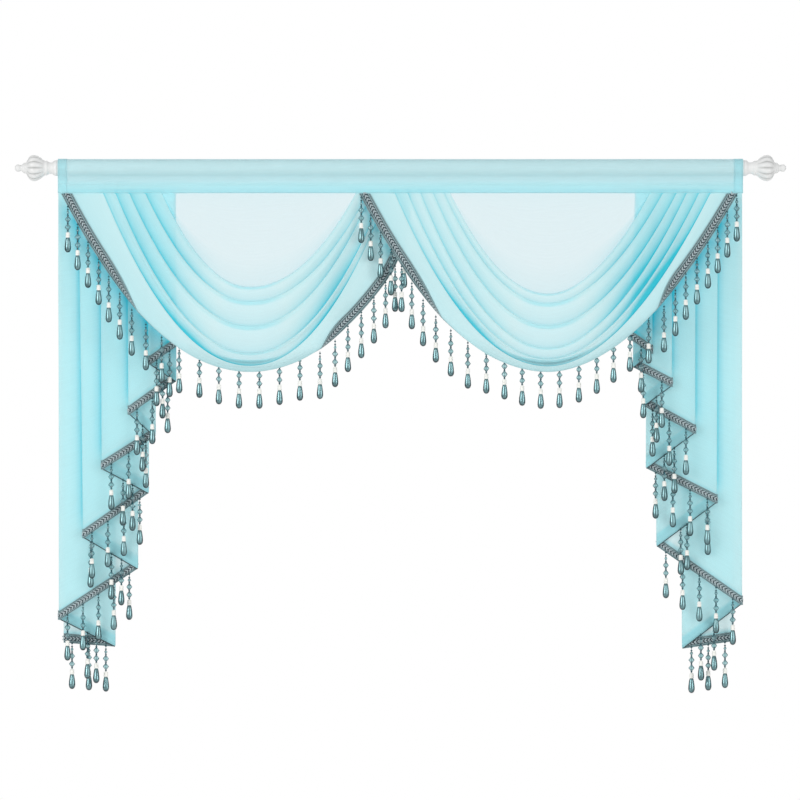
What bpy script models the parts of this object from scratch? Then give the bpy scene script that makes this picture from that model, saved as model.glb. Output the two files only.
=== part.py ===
"""Swag and tail drape hanging on its curtain rod.

One sewn valance: a heading band folded over the rod, two pleated swags that
cross at the middle, and a cascading tail behind each outer side.  Every free
hem carries a woven braid with hanging bead drops, one comb along each hem.

Frame: origin on the rod's axis at mid-width, +X to the viewer's right, the
viewer on the -Y side, +Z up.  Lengths here are in millimetres and become
metres as each mesh is made.
"""
from collections import namedtuple

import bmesh
import bpy
import numpy as np
from mathutils import Vector

METRE = 0.001
BACK = np.array([0.0, 1.0, 0.0])

# Driving dimensions
DRAPE_WIDTH = 1500.0
ROD_RADIUS = 17.5
ROD_OVERHANG = 2.0
ROD_FACETS = 32
ROD_HALF = DRAPE_WIDTH / 2.0 + ROD_OVERHANG
CLOTH = 1.2
LAYER_PITCH = 1.6

# Heading band: pocket over the rod, then the sewn strip below it
POCKET_EASE = 1.4
POCKET_FACETS = 8
STITCH_Z = -37.0
SEAM_Z = -55.0
TUCK_Z = -42.0
CLEAR_BELOW_SEAM = 1.0
FRONT_LAYER_Y = -4.5
BACK_SPREAD = 35.0
TAIL_TOP_LEFT = -450.0
TAIL_TOP_RIGHT = 463.0

# Swags
SWAG_WIDTH = 830.0
SWAG_DROP = 388.0
SWAG_POWER = 2.06
BELLY = 26.0
BELLY_POWER = 0.8
FOLD_FADE_POWER = 8
OPEN_ROW_SHARES = (0.005, 0.4, 0.75)
TROUGH_SHARE = 0.8
HEM_RELIEF = 3.0
HEM_TURN = 9.0
HEM_MARGIN = 1.0
LEVEL_FROM = 0.6
LEVEL_RUN = 0.3
LEVEL_LIMIT = 0.3
PLACE_STEP = 1e-4
HEM_SAMPLES = 2001

# Where the swags cross, the right one stands forward and the left one lies flatter
CROSSING_PUSH = 9.0
CROSSING_FROM = 100.0
CROSSING_RUN = 120.0
CROSSING_POWER = 8
FLATTEN_FROM = -160.0
FLATTEN_RUN = 80.0
FLATTEN_SHARE = 0.7

# Tails
TAIL_LAYER_PITCH = 8.2
TAIL_FORWARD = 16.5
TAIL_FORWARD_DEPTH = 220.0
TAIL_FIRST_OPEN = 250.0
TAIL_OPEN_STEP = 62.0
TAIL_BRAID_RISE = 26.0
TAIL_UPPER_LEVELS = (-57.0, -115.0, -190.0)
FOLD_BULGE = 1.5
FOLD_FACE_TILT = 0.5

# Bead trim
BRAID_WIDTH = 22.0
BRAID_THICKNESS = 1.6
BRAID_GAP = 0.6
DROP_PITCH = 42.5
DROP_ROOT = 3.0
ROOT_SHARE = 0.2
FOLD_MARGIN = 10.0
SWAG_DROP_STEP = 4.7
TAIL_DROP_STEP = 1.4
FRONT_PANEL_LEAN = -1.0
BACK_PANEL_LEAN = -6.4
LEAN_END_X = 60.0
LEAN_SEARCH = 30.0
LEAN_BELOW = 20.0
LEAN_ABOVE = 125.0
LEAN_CLEARANCE = 3.0
ROOT_ROW = 1
RING_CORNERS = np.array([(-1.0, 1.0), (1.0, 1.0), (1.0, -1.0), (-1.0, -1.0)])

Fold = namedtuple("Fold", "inset_left inset_right drop relief")
Swag = namedtuple("Swag", "corner seam_y roll folds bend_from braid_end front")
Edge = namedtuple("Edge", "x_top x_hem z_hem")
Ring = namedtuple("Ring", "below half_width")
Turn = namedtuple("Turn", "out radius flute")
Column = namedtuple("Column", "x_top x_hem z_hem layer facing x_main z_main")

# Each fold line of a swag, from the open middle down to the hem: how far in from
# the swag's corners it leaves the heading, how deep it hangs, how far it stands out
LEFT_FOLDS = (
    Fold(221.0, 184.0, 206.0, 3.0),
    Fold(184.0, 155.0, 237.0, 6.0),
    Fold(149.0, 144.0, 291.0, 8.0),
    Fold(119.0, 114.0, 350.0, 8.0),
    Fold(92.0, 97.0, 378.0, 5.0),
)
RIGHT_FOLDS = (
    Fold(200.0, 193.0, 221.0, 3.0),
    Fold(186.0, 164.0, 241.0, 5.0),
    Fold(162.0, 134.0, 290.0, 8.0),
    Fold(134.0, 112.0, 339.0, 7.0),
    Fold(106.0, 85.0, 361.0, 7.0),
    Fold(78.0, 60.0, 379.0, 5.0),
)

# roll: the places along the hem, -1 to 1, where it starts and ends turning under
# on the left, and starts and ends turning back out on the right; bend_from: where
# the hem starts to be drawn in; braid_end: where the braid stops behind a swag
SWAGS = {
    "left": Swag(-743.5, -1.3, (-0.81, -0.45, 0.22, 0.52), LEFT_FOLDS, -40.0, 4.0, False),
    "right": Swag(-90.9, -2.9, (-0.79, -0.42, 0.42, 0.72), RIGHT_FOLDS, None, 740.0, True),
}

# Each fold edge of a tail, from the inner edge outwards along the cut hem
TAILS = {
    "left": (
        Edge(-491.7, -491.7, -383.3),
        Edge(-558.5, -548.6, -422.7),
        Edge(-495.0, -493.8, -459.9),
        Edge(-597.0, -594.6, -532.2),
        Edge(-537.0, -539.8, -580.4),
        Edge(-656.0, -653.7, -652.6),
        Edge(-553.0, -555.2, -705.2),
        Edge(-704.0, -695.3, -803.7),
        Edge(-575.0, -579.3, -871.6),
        Edge(-749.0, -749.0, -983.3),
        Edge(-625.0, -629.6, -1042.4),
        Edge(-745.0, -741.3, -1033.7),
    ),
    "right": (
        Edge(513.6, 504.8, -367.9),
        Edge(551.0, 549.7, -398.6),
        Edge(517.0, 512.2, -428.8),
        Edge(593.0, 593.5, -470.9),
        Edge(537.0, 535.0, -513.6),
        Edge(645.0, 645.0, -573.8),
        Edge(543.0, 541.6, -650.4),
        Edge(694.0, 693.1, -727.1),
        Edge(562.0, 565.2, -822.3),
        Edge(748.0, 749.0, -950.5),
        Edge(618.0, 622.0, -1046.8),
        Edge(742.0, 732.5, -1030.4),
    ),
}
TAIL_PANELS = len(TAILS["left"]) - 1
TAIL_SEAM_Y = SWAGS["left"].seam_y + LAYER_PITCH

# One bead drop, from its thread to the tip of the pearl
DROP_RINGS = (Ring(24.0, 0.9), Ring(46.0, 3.2), Ring(88.0, 5.6), Ring(104.0, 1.5))
PEARL_BELOW = DROP_RINGS[2].below

# Finial profile: distance out from the rod's end, radius, and depth of the flutes
FINIAL_PROFILE = (
    Turn(0.3, 17.5, 0.0),
    Turn(4.0, 17.0, 0.0),
    Turn(12.0, 12.6, 0.0),
    Turn(18.0, 13.3, 0.0),
    Turn(23.0, 16.4, 0.0),
    Turn(26.0, 16.0, 0.0),
    Turn(34.0, 22.0, 1.6),
    Turn(43.0, 27.6, 2.6),
    Turn(51.0, 29.3, 2.8),
    Turn(58.0, 27.0, 2.4),
    Turn(65.0, 17.5, 1.0),
    Turn(67.5, 12.4, 0.0),
    Turn(72.0, 11.6, 0.0),
    Turn(79.0, 6.6, 0.0),
    Turn(83.0, 7.7, 0.0),
    Turn(88.0, 7.7, 0.0),
    Turn(92.5, 3.0, 0.0),
)
FLUTES = 12

PAINT_ROUGHNESS = 0.35
TRIM_ROUGHNESS = 0.4
CLOTH_ROUGHNESS = 0.8
COLOURS = {
    "cloth": (0.45, 0.80, 0.88, 1.0),
    "trim": (0.10, 0.19, 0.22, 1.0),
    "white_paint": (0.84, 0.84, 0.83, 1.0),
}


def clear_scene():
    for item in list(bpy.data.objects):
        bpy.data.objects.remove(item, do_unlink=True)


def make_material(name, colour, roughness):
    material = bpy.data.materials.new(name)
    material.use_nodes = True
    shader = material.node_tree.nodes["Principled BSDF"]
    shader.inputs["Base Color"].default_value = colour
    shader.inputs["Roughness"].default_value = roughness
    shader.inputs["Metallic"].default_value = 0.0
    return material


def add_object(name, points, faces, colour, roughness, outward=True):
    """A mesh object from points in millimetres, with coincident points merged."""
    shell = bmesh.new()
    corners = [shell.verts.new(np.asarray(point) * METRE) for point in points]
    for face in faces:
        shell.faces.new([corners[index] for index in face])
    bmesh.ops.remove_doubles(shell, verts=shell.verts, dist=1e-6)
    if outward:
        bmesh.ops.recalc_face_normals(shell, faces=shell.faces)
    mesh = bpy.data.meshes.new(name)
    shell.to_mesh(mesh)
    shell.free()
    piece = bpy.data.objects.new(name, mesh)
    piece.data.materials.append(make_material(name, COLOURS[colour], roughness))
    bpy.context.scene.collection.objects.link(piece)
    return piece


def triangle_strips(rows, columns):
    """Two triangles for each cell of a grid, every cell split the same way."""
    faces = []
    for row in range(rows - 1):
        for column in range(columns - 1):
            corner = row * columns + column
            under = corner + columns
            faces.append((corner, under + 1, corner + 1))
            faces.append((corner, under, under + 1))
    return faces


def add_sheet(name, grid):
    """A cloth sheet: a grid of points at mid-thickness, thickened both ways."""
    rows, columns = grid.shape[:2]
    faces = triangle_strips(rows, columns)
    piece = add_object(name, grid.reshape(-1, 3), faces, "cloth", CLOTH_ROUGHNESS, False)
    wall = piece.modifiers.new("cloth_thickness", "SOLIDIFY")
    wall.thickness = CLOTH * METRE
    wall.offset = 0.0
    wall.use_even_offset = False
    return piece


def ease(value):
    """Smooth step from 0 to 1."""
    value = np.clip(value, 0.0, 1.0)
    return value * value * (3.0 - 2.0 * value)


# ---------------------------------------------------------------- rod and finials


def turned_rings(profile, side, segments):
    """Rings along X round the rod's axis, fluted where the profile says."""
    angles = np.arange(segments) * 2.0 * np.pi / segments
    points = []
    for out, radius, flute in profile:
        reach = radius - flute * 0.5 * (1.0 + np.cos(angles * FLUTES))
        x = np.full(segments, side * (ROD_HALF + out))
        points.extend(np.stack([x, reach * np.cos(angles), reach * np.sin(angles)], axis=1))
    return points


def ring_faces(rings, segments):
    """Walls between neighbouring rings, and a flat cap over the first and last."""
    faces = []
    for ring in range(rings - 1):
        for index in range(segments):
            after = (index + 1) % segments
            low = ring * segments
            high = low + segments
            faces.append((low + index, low + after, high + after, high + index))
    faces.append(tuple(range(segments)))
    faces.append(tuple(range((rings - 1) * segments, rings * segments)))
    return faces


def add_rod():
    ends = (Turn(-2.0 * ROD_HALF, ROD_RADIUS, 0.0), Turn(0.0, ROD_RADIUS, 0.0))
    points = turned_rings(ends, 1.0, ROD_FACETS)
    add_object("rod", points, ring_faces(len(ends), ROD_FACETS), "white_paint", PAINT_ROUGHNESS)


def add_finial(name, side):
    segments = FLUTES * 2
    points = turned_rings(FINIAL_PROFILE, side, segments)
    faces = ring_faces(len(FINIAL_PROFILE), segments)
    add_object(name, points, faces, "white_paint", PAINT_ROUGHNESS)


# ---------------------------------------------------------------------- heading


def tangent_angle(radius, y, side):
    """Where a line from the stitching at y touches the pocket's circle, on one side."""
    return np.arctan2(STITCH_Z, y) + side * np.arccos(radius / np.hypot(y, STITCH_Z))


def heading_back_y(x):
    """The back layer stands behind the folded tails and closes in between them."""
    left = ease((TAIL_TOP_LEFT - x) / BACK_SPREAD)
    right = ease((x - TAIL_TOP_RIGHT) / BACK_SPREAD)
    return TAIL_SEAM_Y + TAIL_PANELS * LAYER_PITCH * max(left, right)


def heading_section(x):
    """Front strip, pocket round the rod, back strip, as points at mid-thickness."""
    radius = ROD_RADIUS + POCKET_EASE + CLOTH / 2.0
    back_y = heading_back_y(x)
    front_angle = tangent_angle(radius, FRONT_LAYER_Y, -1.0) + 2.0 * np.pi
    back_angle = tangent_angle(radius, back_y, 1.0)
    section = [(x, FRONT_LAYER_Y, SEAM_Z), (x, FRONT_LAYER_Y, STITCH_Z)]
    for angle in np.linspace(front_angle, back_angle, POCKET_FACETS + 1):
        section.append((x, radius * np.cos(angle), radius * np.sin(angle)))
    section += [(x, back_y, STITCH_Z), (x, back_y, SEAM_Z)]
    return section


def add_heading():
    spread = np.linspace(0.0, BACK_SPREAD, 4)
    stations = np.concatenate([
        [-DRAPE_WIDTH / 2.0], (TAIL_TOP_LEFT - spread)[::-1],
        TAIL_TOP_RIGHT + spread, [DRAPE_WIDTH / 2.0],
    ])
    add_sheet("heading", np.array([heading_section(x) for x in stations]))


# ------------------------------------------------------------------------ swags


def swag_line(swag, inset_left, inset_right, drop, place):
    """A hanging line across a swag, from place -1 at the left to 1 at the right."""
    middle = swag.corner + SWAG_WIDTH / 2.0
    reach = SWAG_WIDTH / 2.0 - np.where(place < 0.0, inset_left, inset_right)
    x = middle + place * reach
    z = SEAM_Z - drop * (1.0 - np.abs(place) ** SWAG_POWER)
    return x, z


def swag_depth(swag, x, drop, relief, place):
    """How far forward a line stands: the swag's belly and its own fold."""
    belly = BELLY * (drop / SWAG_DROP) ** BELLY_POWER * (1.0 - place ** 2)
    forward = belly + relief * (1.0 - np.abs(place) ** FOLD_FADE_POWER)
    if swag.front:
        near = ease((CROSSING_FROM - x) / CROSSING_RUN)
        forward = forward + CROSSING_PUSH * near * (1.0 - np.abs(place) ** CROSSING_POWER)
    else:
        forward = forward * (1.0 - FLATTEN_SHARE * ease((x - FLATTEN_FROM) / FLATTEN_RUN))
    return swag.seam_y - forward


def swag_outline(swag, place):
    """The lowest line of a swag, its right end drawn in where it runs behind."""
    x, z = swag_line(swag, 0.0, 0.0, SWAG_DROP, place)
    if swag.bend_from is not None:
        past = np.maximum(x - swag.bend_from, 0.0)
        x = x - past ** 2 / (2.0 * (swag.corner + SWAG_WIDTH - swag.bend_from))
    return x, z


def swag_hem(swag, place):
    """Turned edge, far side of the turn and cut hem, and the way the braid faces."""
    before_x, before_z = swag_outline(swag, place - PLACE_STEP)
    after_x, after_z = swag_outline(swag, place + PLACE_STEP)
    length = np.hypot(after_x - before_x, after_z - before_z)
    outward = np.zeros((len(place), 3))
    outward[:, 0] = (after_z - before_z) / length
    outward[:, 2] = (before_x - after_x) / length
    start, turned, leave, flat = swag.roll
    under = np.clip((place - start) / (turned - start), 0.0, 1.0)
    out = np.clip((place - leave) / (flat - leave), 0.0, 1.0)
    turn = (np.pi * (under - out))[:, None]
    face_out = np.maximum(np.cos(turn), 0.0)
    level = np.zeros_like(outward)
    level[:, 0] = np.sign(outward[:, 0]) / np.maximum(np.abs(outward[:, 0]), LEVEL_LIMIT)
    near_end = ease((np.abs(place) - LEVEL_FROM) / LEVEL_RUN)[:, None]
    across = outward * (1.0 - near_end) + level * near_end
    x, z = swag_outline(swag, place)
    y = swag_depth(swag, x, SWAG_DROP, HEM_RELIEF, place)
    edge = np.stack([x, y, z], axis=1) - across * face_out * (BRAID_WIDTH + 2.0 * HEM_MARGIN)
    far = edge + across * face_out * HEM_MARGIN + BACK * HEM_TURN * np.sin(turn / 2.0) ** 2
    hem = far + (across * np.cos(turn) + BACK * np.sin(turn)) * (BRAID_WIDTH + HEM_MARGIN)
    facing = outward * np.sin(turn) - BACK * np.cos(turn)
    return edge, far, hem, facing


def swag_places(swag):
    """Places of the bead drops at an even pitch along the hem, as close pairs."""
    dense = np.linspace(-1.0, 1.0, HEM_SAMPLES)
    hem = swag_hem(swag, dense)[2]
    run = np.hypot(np.diff(hem[:, 0]), np.diff(hem[:, 2]))
    length = np.concatenate([[0.0], np.cumsum(run)])
    count = int(round(length[-1] / DROP_PITCH))
    centres = (np.arange(count) + 0.5) * length[-1] / count
    pairs = np.stack([centres - DROP_ROOT / 2.0, centres + DROP_ROOT / 2.0], axis=1).ravel()
    marks = np.concatenate([[0.0], pairs, [length[-1]]])
    coarse = np.concatenate([[0.0], np.repeat(centres, 2), [length[-1]]])
    return np.interp(marks, length, dense), np.interp(coarse, length, dense)


def swag_rows(swag):
    """Insets, drop and relief of each row: open middle, then crest and trough."""
    first = swag.folds[0]
    rows = []
    for share in OPEN_ROW_SHARES:
        rows.append(Fold(first.inset_left, first.inset_right, first.drop * share, 0.0))
    for fold, lower in zip(swag.folds, swag.folds[1:]):
        trough = [a + TROUGH_SHARE * (b - a) for a, b in zip(fold[:3], lower[:3])]
        rows += [fold, Fold(*trough, 0.0)]
    rows.append(swag.folds[-1])
    return rows


def root_line(inner, hem):
    """The line along a braid that its bead drops hang from."""
    return hem + (inner - hem) * ROOT_SHARE


def swag_tuck(swag, line):
    """The cloth above a line, caught between the layers of the heading."""
    lifted = line.copy()
    lifted[..., 1] = swag.seam_y
    lifted[..., 2] = TUCK_Z
    return lifted


def add_swag(side):
    """The swag's sheet; gives back its grid below the seam and the way its hem faces."""
    swag = SWAGS[side]
    exact, coarse = swag_places(swag)
    lines = []
    for inset_left, inset_right, drop, relief in swag_rows(swag):
        x, z = swag_line(swag, inset_left, inset_right, drop, coarse)
        lines.append(np.stack([x, swag_depth(swag, x, drop, relief, coarse), z], axis=1))
    edge, far, hem, facing = swag_hem(swag, exact)
    body = np.array(lines + [edge, far, root_line(far, hem), hem])
    body[..., 2] -= CLEAR_BELOW_SEAM
    grid = np.concatenate([swag_tuck(swag, body[:1]), body])
    left_column = swag_tuck(swag, grid[:, :1])
    right_column = swag_tuck(swag, grid[:, -1:])
    add_sheet("swag_" + side, np.concatenate([left_column, grid, right_column], axis=1))
    return body, facing


# ------------------------------------------------------------------------ tails


def tail_y(layer, z):
    """Layers lie close at the seam and fan out below it, each by its own hem."""
    depth = np.maximum(SEAM_Z - z, 0.0)
    y = TAIL_SEAM_Y + TAIL_FORWARD * ease(depth / TAIL_FORWARD_DEPTH)
    for gap in range(TAIL_PANELS - 1):
        opened = np.minimum(depth / (TAIL_FIRST_OPEN + gap * TAIL_OPEN_STEP), 1.0)
        width = LAYER_PITCH + (TAIL_LAYER_PITCH - LAYER_PITCH) * opened
        y = y + width * np.clip(layer - gap, 0.0, 1.0)
    return y


def panel_shares(edges, panel):
    """Where drops hang along one panel of a tail, as shares of its width.

    A returning panel's drops hang midway between those of the front panel behind it.
    """
    here, there = edges[panel], edges[panel + 1]
    if panel % 2 == 0:
        length = np.hypot(there.x_hem - here.x_hem, there.z_hem - here.z_hem)
        count = max(1, int(round(length / DROP_PITCH)))
        return (np.arange(count) + 0.5) / count
    behind, beyond = edges[panel + 1], edges[panel + 2]
    shares = panel_shares(edges, panel + 1)
    middles = shares - (shares[1] - shares[0]) / 2.0
    x = behind.x_hem + middles * (beyond.x_hem - behind.x_hem)
    shares = (x - here.x_hem) / (there.x_hem - here.x_hem)
    margin = FOLD_MARGIN / abs(there.x_hem - here.x_hem)
    return np.sort(shares[(shares > margin) & (shares < 1.0 - margin)])


def along_edge(here, there, share):
    """A place between two fold edges: x at the seam, x and z at the hem."""
    return [a + share * (b - a) for a, b in zip(here, there)]


def tail_columns(edges):
    """Columns of a tail from its inner edge outwards, and its drops' roots by panel."""
    columns = []
    roots = {}
    outer = np.sign(edges[0].x_hem)
    last = len(edges) - 2
    for panel in range(TAIL_PANELS):
        here, there = edges[panel], edges[panel + 1]
        facing = (0.0, -1.0, 0.0) if panel % 2 == 0 else (0.0, 1.0, 0.0)
        at_fold = (outer * FOLD_FACE_TILT, facing[1] * np.sqrt(1.0 - FOLD_FACE_TILT ** 2), 0.0)
        half = DROP_ROOT / 2.0 / abs(there.x_hem - here.x_hem)
        places = [(0.0, 0.0, at_fold if panel > 0 else facing)]
        for share in panel_shares(edges, panel):
            roots[len(columns) + len(places)] = panel
            places += [(share - half, share, facing), (share + half, share, facing)]
        places.append((1.0, 1.0, at_fold if panel < last else facing))
        for share, centre, way in places:
            x_top, x_main, z_main = along_edge(here, there, centre)
            x_hem, z_hem = along_edge(here, there, share)[1:]
            columns.append(Column(x_top, x_hem, z_hem, panel, way, x_main, z_main))
        if panel < last:
            bulge = np.sign(there.x_hem - here.x_hem) * FOLD_BULGE
            x_hem = there.x_hem + bulge
            columns.append(Column(there.x_top + bulge, x_hem, there.z_hem, panel + 0.5,
                                  (outer, 0.0, 0.0), x_hem, there.z_hem))
    return columns, roots


def add_tail(side):
    """The tail's sheet; gives back its braid's two lines, facing and drop roots."""
    columns, roots = tail_columns(TAILS[side])
    x_top, x_hem, z_hem, layer, facing, x_main, z_main = map(np.array, zip(*columns))
    lowest = SEAM_Z - TAIL_FORWARD_DEPTH
    levels = [np.full_like(x_top, z) for z in (TUCK_Z, *TAIL_UPPER_LEVELS, lowest)]
    levels.append((lowest + z_main + TAIL_BRAID_RISE) / 2.0)
    rows = []
    for z in levels:
        x = x_top + (x_main - x_top) * np.maximum(SEAM_Z - z, 0.0) / (SEAM_Z - z_main)
        rows.append(np.stack([x, tail_y(layer, z), z], axis=1))
    for z in (z_hem + TAIL_BRAID_RISE, z_hem):
        rows.append(np.stack([x_hem, tail_y(layer, z), z], axis=1))
    add_sheet("tail_" + side, np.array(rows))
    return rows[-2], rows[-1], facing, roots


# -------------------------------------------------------------------- bead trim


def ring_walls(faces, upper, lower):
    """Walls between two four-cornered rings."""
    for k in range(4):
        after = (k + 1) % 4
        faces.append((upper[k], upper[after], lower[after]))
        faces.append((upper[k], lower[after], lower[k]))


def first_corners(spots, way):
    """Order of a root's corners that meets the rings below it without a twist."""
    spots = spots - spots.mean(axis=0)
    order = [0, 1, 2, 3]
    if np.dot(np.cross(spots[2] - spots[0], spots[3] - spots[1]), way) < 0.0:
        order.reverse()
    tip = Vector(way).rotation_difference(Vector((0.0, 0.0, -1.0))).to_matrix()
    hung = spots @ np.array(tip).T
    turns = [order[turn:] + order[:turn] for turn in range(4)]
    return min(turns, key=lambda turn: np.linalg.norm(hung[turn, :2] - RING_CORNERS))


def comb_ribbon(loops, roots):
    """Faces of a closed ribbon left open where the bead drops join its first side."""
    sides, count = loops.shape[:2]
    faces = []
    for row in range(sides):
        below = (row + 1) % sides
        for column in range(count - 1):
            if row == ROOT_ROW and column in roots:
                continue
            corner = row * count + column
            under = below * count + column
            if row < sides // 2:
                faces += [(corner, under + 1, corner + 1), (corner, under, under + 1)]
            else:
                faces += [(corner, under, corner + 1), (corner + 1, under, under + 1)]
    for column in (0, count - 1):
        top, split, hem, back_hem, back_split, back_top = range(column, sides * count, count)
        faces += [(top, split, back_top), (split, back_split, back_top)]
        faces += [(split, hem, back_split), (hem, back_hem, back_split)]
    return faces


def add_comb(name, inner, hem, facing, roots, step, lean_at):
    """A braid along a hem with a bead drop hanging from each root.

    roots are the first columns of the close pairs; lean_at gives how far along Y
    the beads lean so that they hang clear of the cloth behind them.
    """
    count = len(inner)
    split = root_line(inner, hem)
    near = facing * (CLOTH / 2.0 + BRAID_GAP)
    far = near + facing * BRAID_THICKNESS
    outside = [inner + far, split + far, hem + far]
    inside = [hem + near, split + near, inner + near]
    loops = np.array(outside + inside)
    points = list(loops.reshape(-1, 3))
    faces = comb_ribbon(loops, roots)
    for column in roots:
        corner = ROOT_ROW * count + column
        corners = np.array([corner, corner + count, corner + count + 1, corner + 1])
        spots = np.array([points[index] for index in corners])
        way = (facing[column] + facing[column + 1]) / 2.0
        start = spots.mean(axis=0) + way * step
        upper = corners[first_corners(spots, way)]
        lean = lean_at(column, spots.mean(axis=0))
        for ring in DROP_RINGS:
            swing = (ring.below - DROP_RINGS[0].below) / (PEARL_BELOW - DROP_RINGS[0].below)
            centre = start + np.array([0.0, lean * min(1.0, swing), -ring.below])
            lower = np.arange(len(points), len(points) + 4)
            for dx, dy in RING_CORNERS * ring.half_width:
                points.append(centre + np.array([dx, dy, 0.0]))
            ring_walls(faces, upper, lower)
            upper = lower
        faces.append(tuple(upper))
    add_object(name, points, faces, "trim", TRIM_ROUGHNESS)


def add_swag_trim(side, body, facing, behind):
    """The comb along a swag's hem; behind is the cloth its drops have to clear."""
    last = int(np.sum(body[-1][:, 0] < SWAGS[side].braid_end))
    run = slice(1, last)
    roots = range(0, last - 2, 2)

    def lean_at(column, root):
        if root[0] > LEAN_END_X or behind is None:
            return 0.0
        spots = behind.reshape(-1, 3)
        beside = np.abs(spots[:, 0] - root[0]) < LEAN_SEARCH
        above = spots[:, 2] < root[2] - LEAN_BELOW
        under = spots[:, 2] > root[2] - LEAN_ABOVE
        cloth = spots[beside & above & under]
        if len(cloth) == 0:
            return 0.0
        clear = cloth[:, 1].min() - CLOTH - DROP_RINGS[2].half_width - LEAN_CLEARANCE
        return min(0.0, clear - root[1] + SWAG_DROP_STEP)

    add_comb("trim_swag_" + side, body[-3][run], body[-1][run], facing[run], roots,
             SWAG_DROP_STEP, lean_at)


def add_tail_trim(side, inner, hem, facing, roots):
    """The comb along a tail's hem; drops of returning panels lean clear of the next."""

    def lean_at(column, root):
        return FRONT_PANEL_LEAN if roots[column] % 2 == 0 else BACK_PANEL_LEAN

    add_comb("trim_tail_" + side, inner, hem, facing, roots, TAIL_DROP_STEP, lean_at)


def build():
    clear_scene()
    add_rod()
    add_finial("finial_left", -1.0)
    add_finial("finial_right", 1.0)
    add_heading()
    left_body, left_facing = add_swag("left")
    right_body, right_facing = add_swag("right")
    add_swag_trim("left", left_body, left_facing, None)
    add_swag_trim("right", right_body, right_facing, left_body)
    for side in TAILS:
        add_tail_trim(side, *add_tail(side))


build()
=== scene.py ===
"""Sheer swag and tail drape with a beaded braid trim, hanging on its curtain rod.

Lengths in the tables are millimetres and turn to metres as each mesh is made.
+X runs to the viewer's right along the rod, the viewer is on the -Y side, +Z is up.
"""

from collections import namedtuple

import bpy
import numpy as np
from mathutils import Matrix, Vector


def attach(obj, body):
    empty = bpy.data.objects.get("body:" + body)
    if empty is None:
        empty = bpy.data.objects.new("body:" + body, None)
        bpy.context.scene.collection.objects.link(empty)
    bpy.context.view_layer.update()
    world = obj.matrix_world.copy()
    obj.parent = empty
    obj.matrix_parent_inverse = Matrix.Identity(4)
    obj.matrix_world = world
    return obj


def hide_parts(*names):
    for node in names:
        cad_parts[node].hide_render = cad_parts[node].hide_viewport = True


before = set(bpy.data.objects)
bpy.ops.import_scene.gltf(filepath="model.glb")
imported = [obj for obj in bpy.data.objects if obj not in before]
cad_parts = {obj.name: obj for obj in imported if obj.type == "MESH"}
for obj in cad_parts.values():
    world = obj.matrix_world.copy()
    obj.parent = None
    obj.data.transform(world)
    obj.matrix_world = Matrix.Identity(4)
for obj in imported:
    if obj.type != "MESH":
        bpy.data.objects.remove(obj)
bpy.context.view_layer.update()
MM = 0.001


# ---------------------------------------------------------------- studio
# A plain pale floor well below the lowest beads and a white room round it.  Broad
# soft lamps in front draw the folds, and a soft one behind makes the voile glow.
FLOOR_Z = -1600.0
FLOOR_HALF = 3000.0
VIEW_WIDTH = 1752.0
VIEW_CENTRE = (-1.0, -508.0)
LENS = 400.0
SENSOR = 36.0
scene = bpy.context.scene


def srgb(code):
    """The linear colour of an sRGB hex value."""
    parts = np.array([int(code[at:at + 2], 16) / 255.0 for at in (1, 3, 5)])
    linear = np.where(parts <= 0.04045, parts / 12.92, ((parts + 0.055) / 1.055) ** 2.4)
    return (*[float(part) for part in linear], 1.0)


def add_node(tree, kind, inputs=None, **settings):
    """A node with its settings made and its inputs set, or linked from a node or socket."""
    made = tree.nodes.new(kind if "Node" in kind else "ShaderNode" + kind)
    for name, value in settings.items():
        setattr(made, name, value)
    for key, value in (inputs or {}).items():
        if isinstance(value, bpy.types.Node):
            value = next(output for output in value.outputs if output.enabled)
        if isinstance(value, bpy.types.NodeSocket):
            tree.links.new(value, made.inputs[key])
        else:
            made.inputs[key].default_value = value
    return made


def new_material(name):
    material = bpy.data.materials.new(name)
    material.use_nodes = True
    material.node_tree.nodes.clear()
    return material, material.node_tree


def add_mesh(name, points, faces, materials, smooth=True):
    """A mesh object from points in millimetres."""
    mesh = bpy.data.meshes.new(name)
    mesh.from_pydata((np.asarray(points).reshape(-1, 3) * MM).tolist(), [], faces)
    mesh.polygons.foreach_set("use_smooth", [smooth] * len(mesh.polygons))
    for material in materials:
        mesh.materials.append(material)
    piece = bpy.data.objects.new(name, mesh)
    scene.collection.objects.link(piece)
    return piece


floor_paint, tree = new_material("matt_white_floor_paint")
speckle = add_node(tree, "TexNoise", {"Scale": 40.0})
tone = add_node(tree, "Mix", {
    0: speckle, 6: srgb("#F6F6F5"), 7: srgb("#FBFBFA")}, data_type="RGBA")
paint = add_node(tree, "BsdfPrincipled", {"Base Color": tone, "Roughness": 0.9})
add_node(tree, "OutputMaterial", {"Surface": paint})
corners = [(x * FLOOR_HALF, y * FLOOR_HALF, FLOOR_Z)
           for x, y in ((-1, -1), (1, -1), (1, 1), (-1, 1))]
floor = add_mesh("floor", corners, [(0, 1, 2, 3)], [floor_paint], smooth=False)

world = bpy.data.worlds.new("white_room")
world.use_nodes = True
scene.world = world
tree = world.node_tree
tree.nodes.clear()
seen = add_node(tree, "LightPath")
bright = add_node(tree, "Background", {"Color": (1.0, 1.0, 1.0, 1.0), "Strength": 1.0})
even = add_node(tree, "Background", {"Color": (0.98, 0.99, 1.0, 1.0), "Strength": 0.68})
dark = add_node(tree, "Background", {"Color": (0.9, 0.95, 1.0, 1.0), "Strength": 0.22})
lit = add_node(tree, "MixShader", {0: seen.outputs["Is Glossy Ray"], 1: even, 2: dark})
room = add_node(tree, "MixShader", {0: seen.outputs["Is Camera Ray"], 1: lit, 2: bright})
add_node(tree, "OutputWorld", {"Surface": room})

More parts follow.
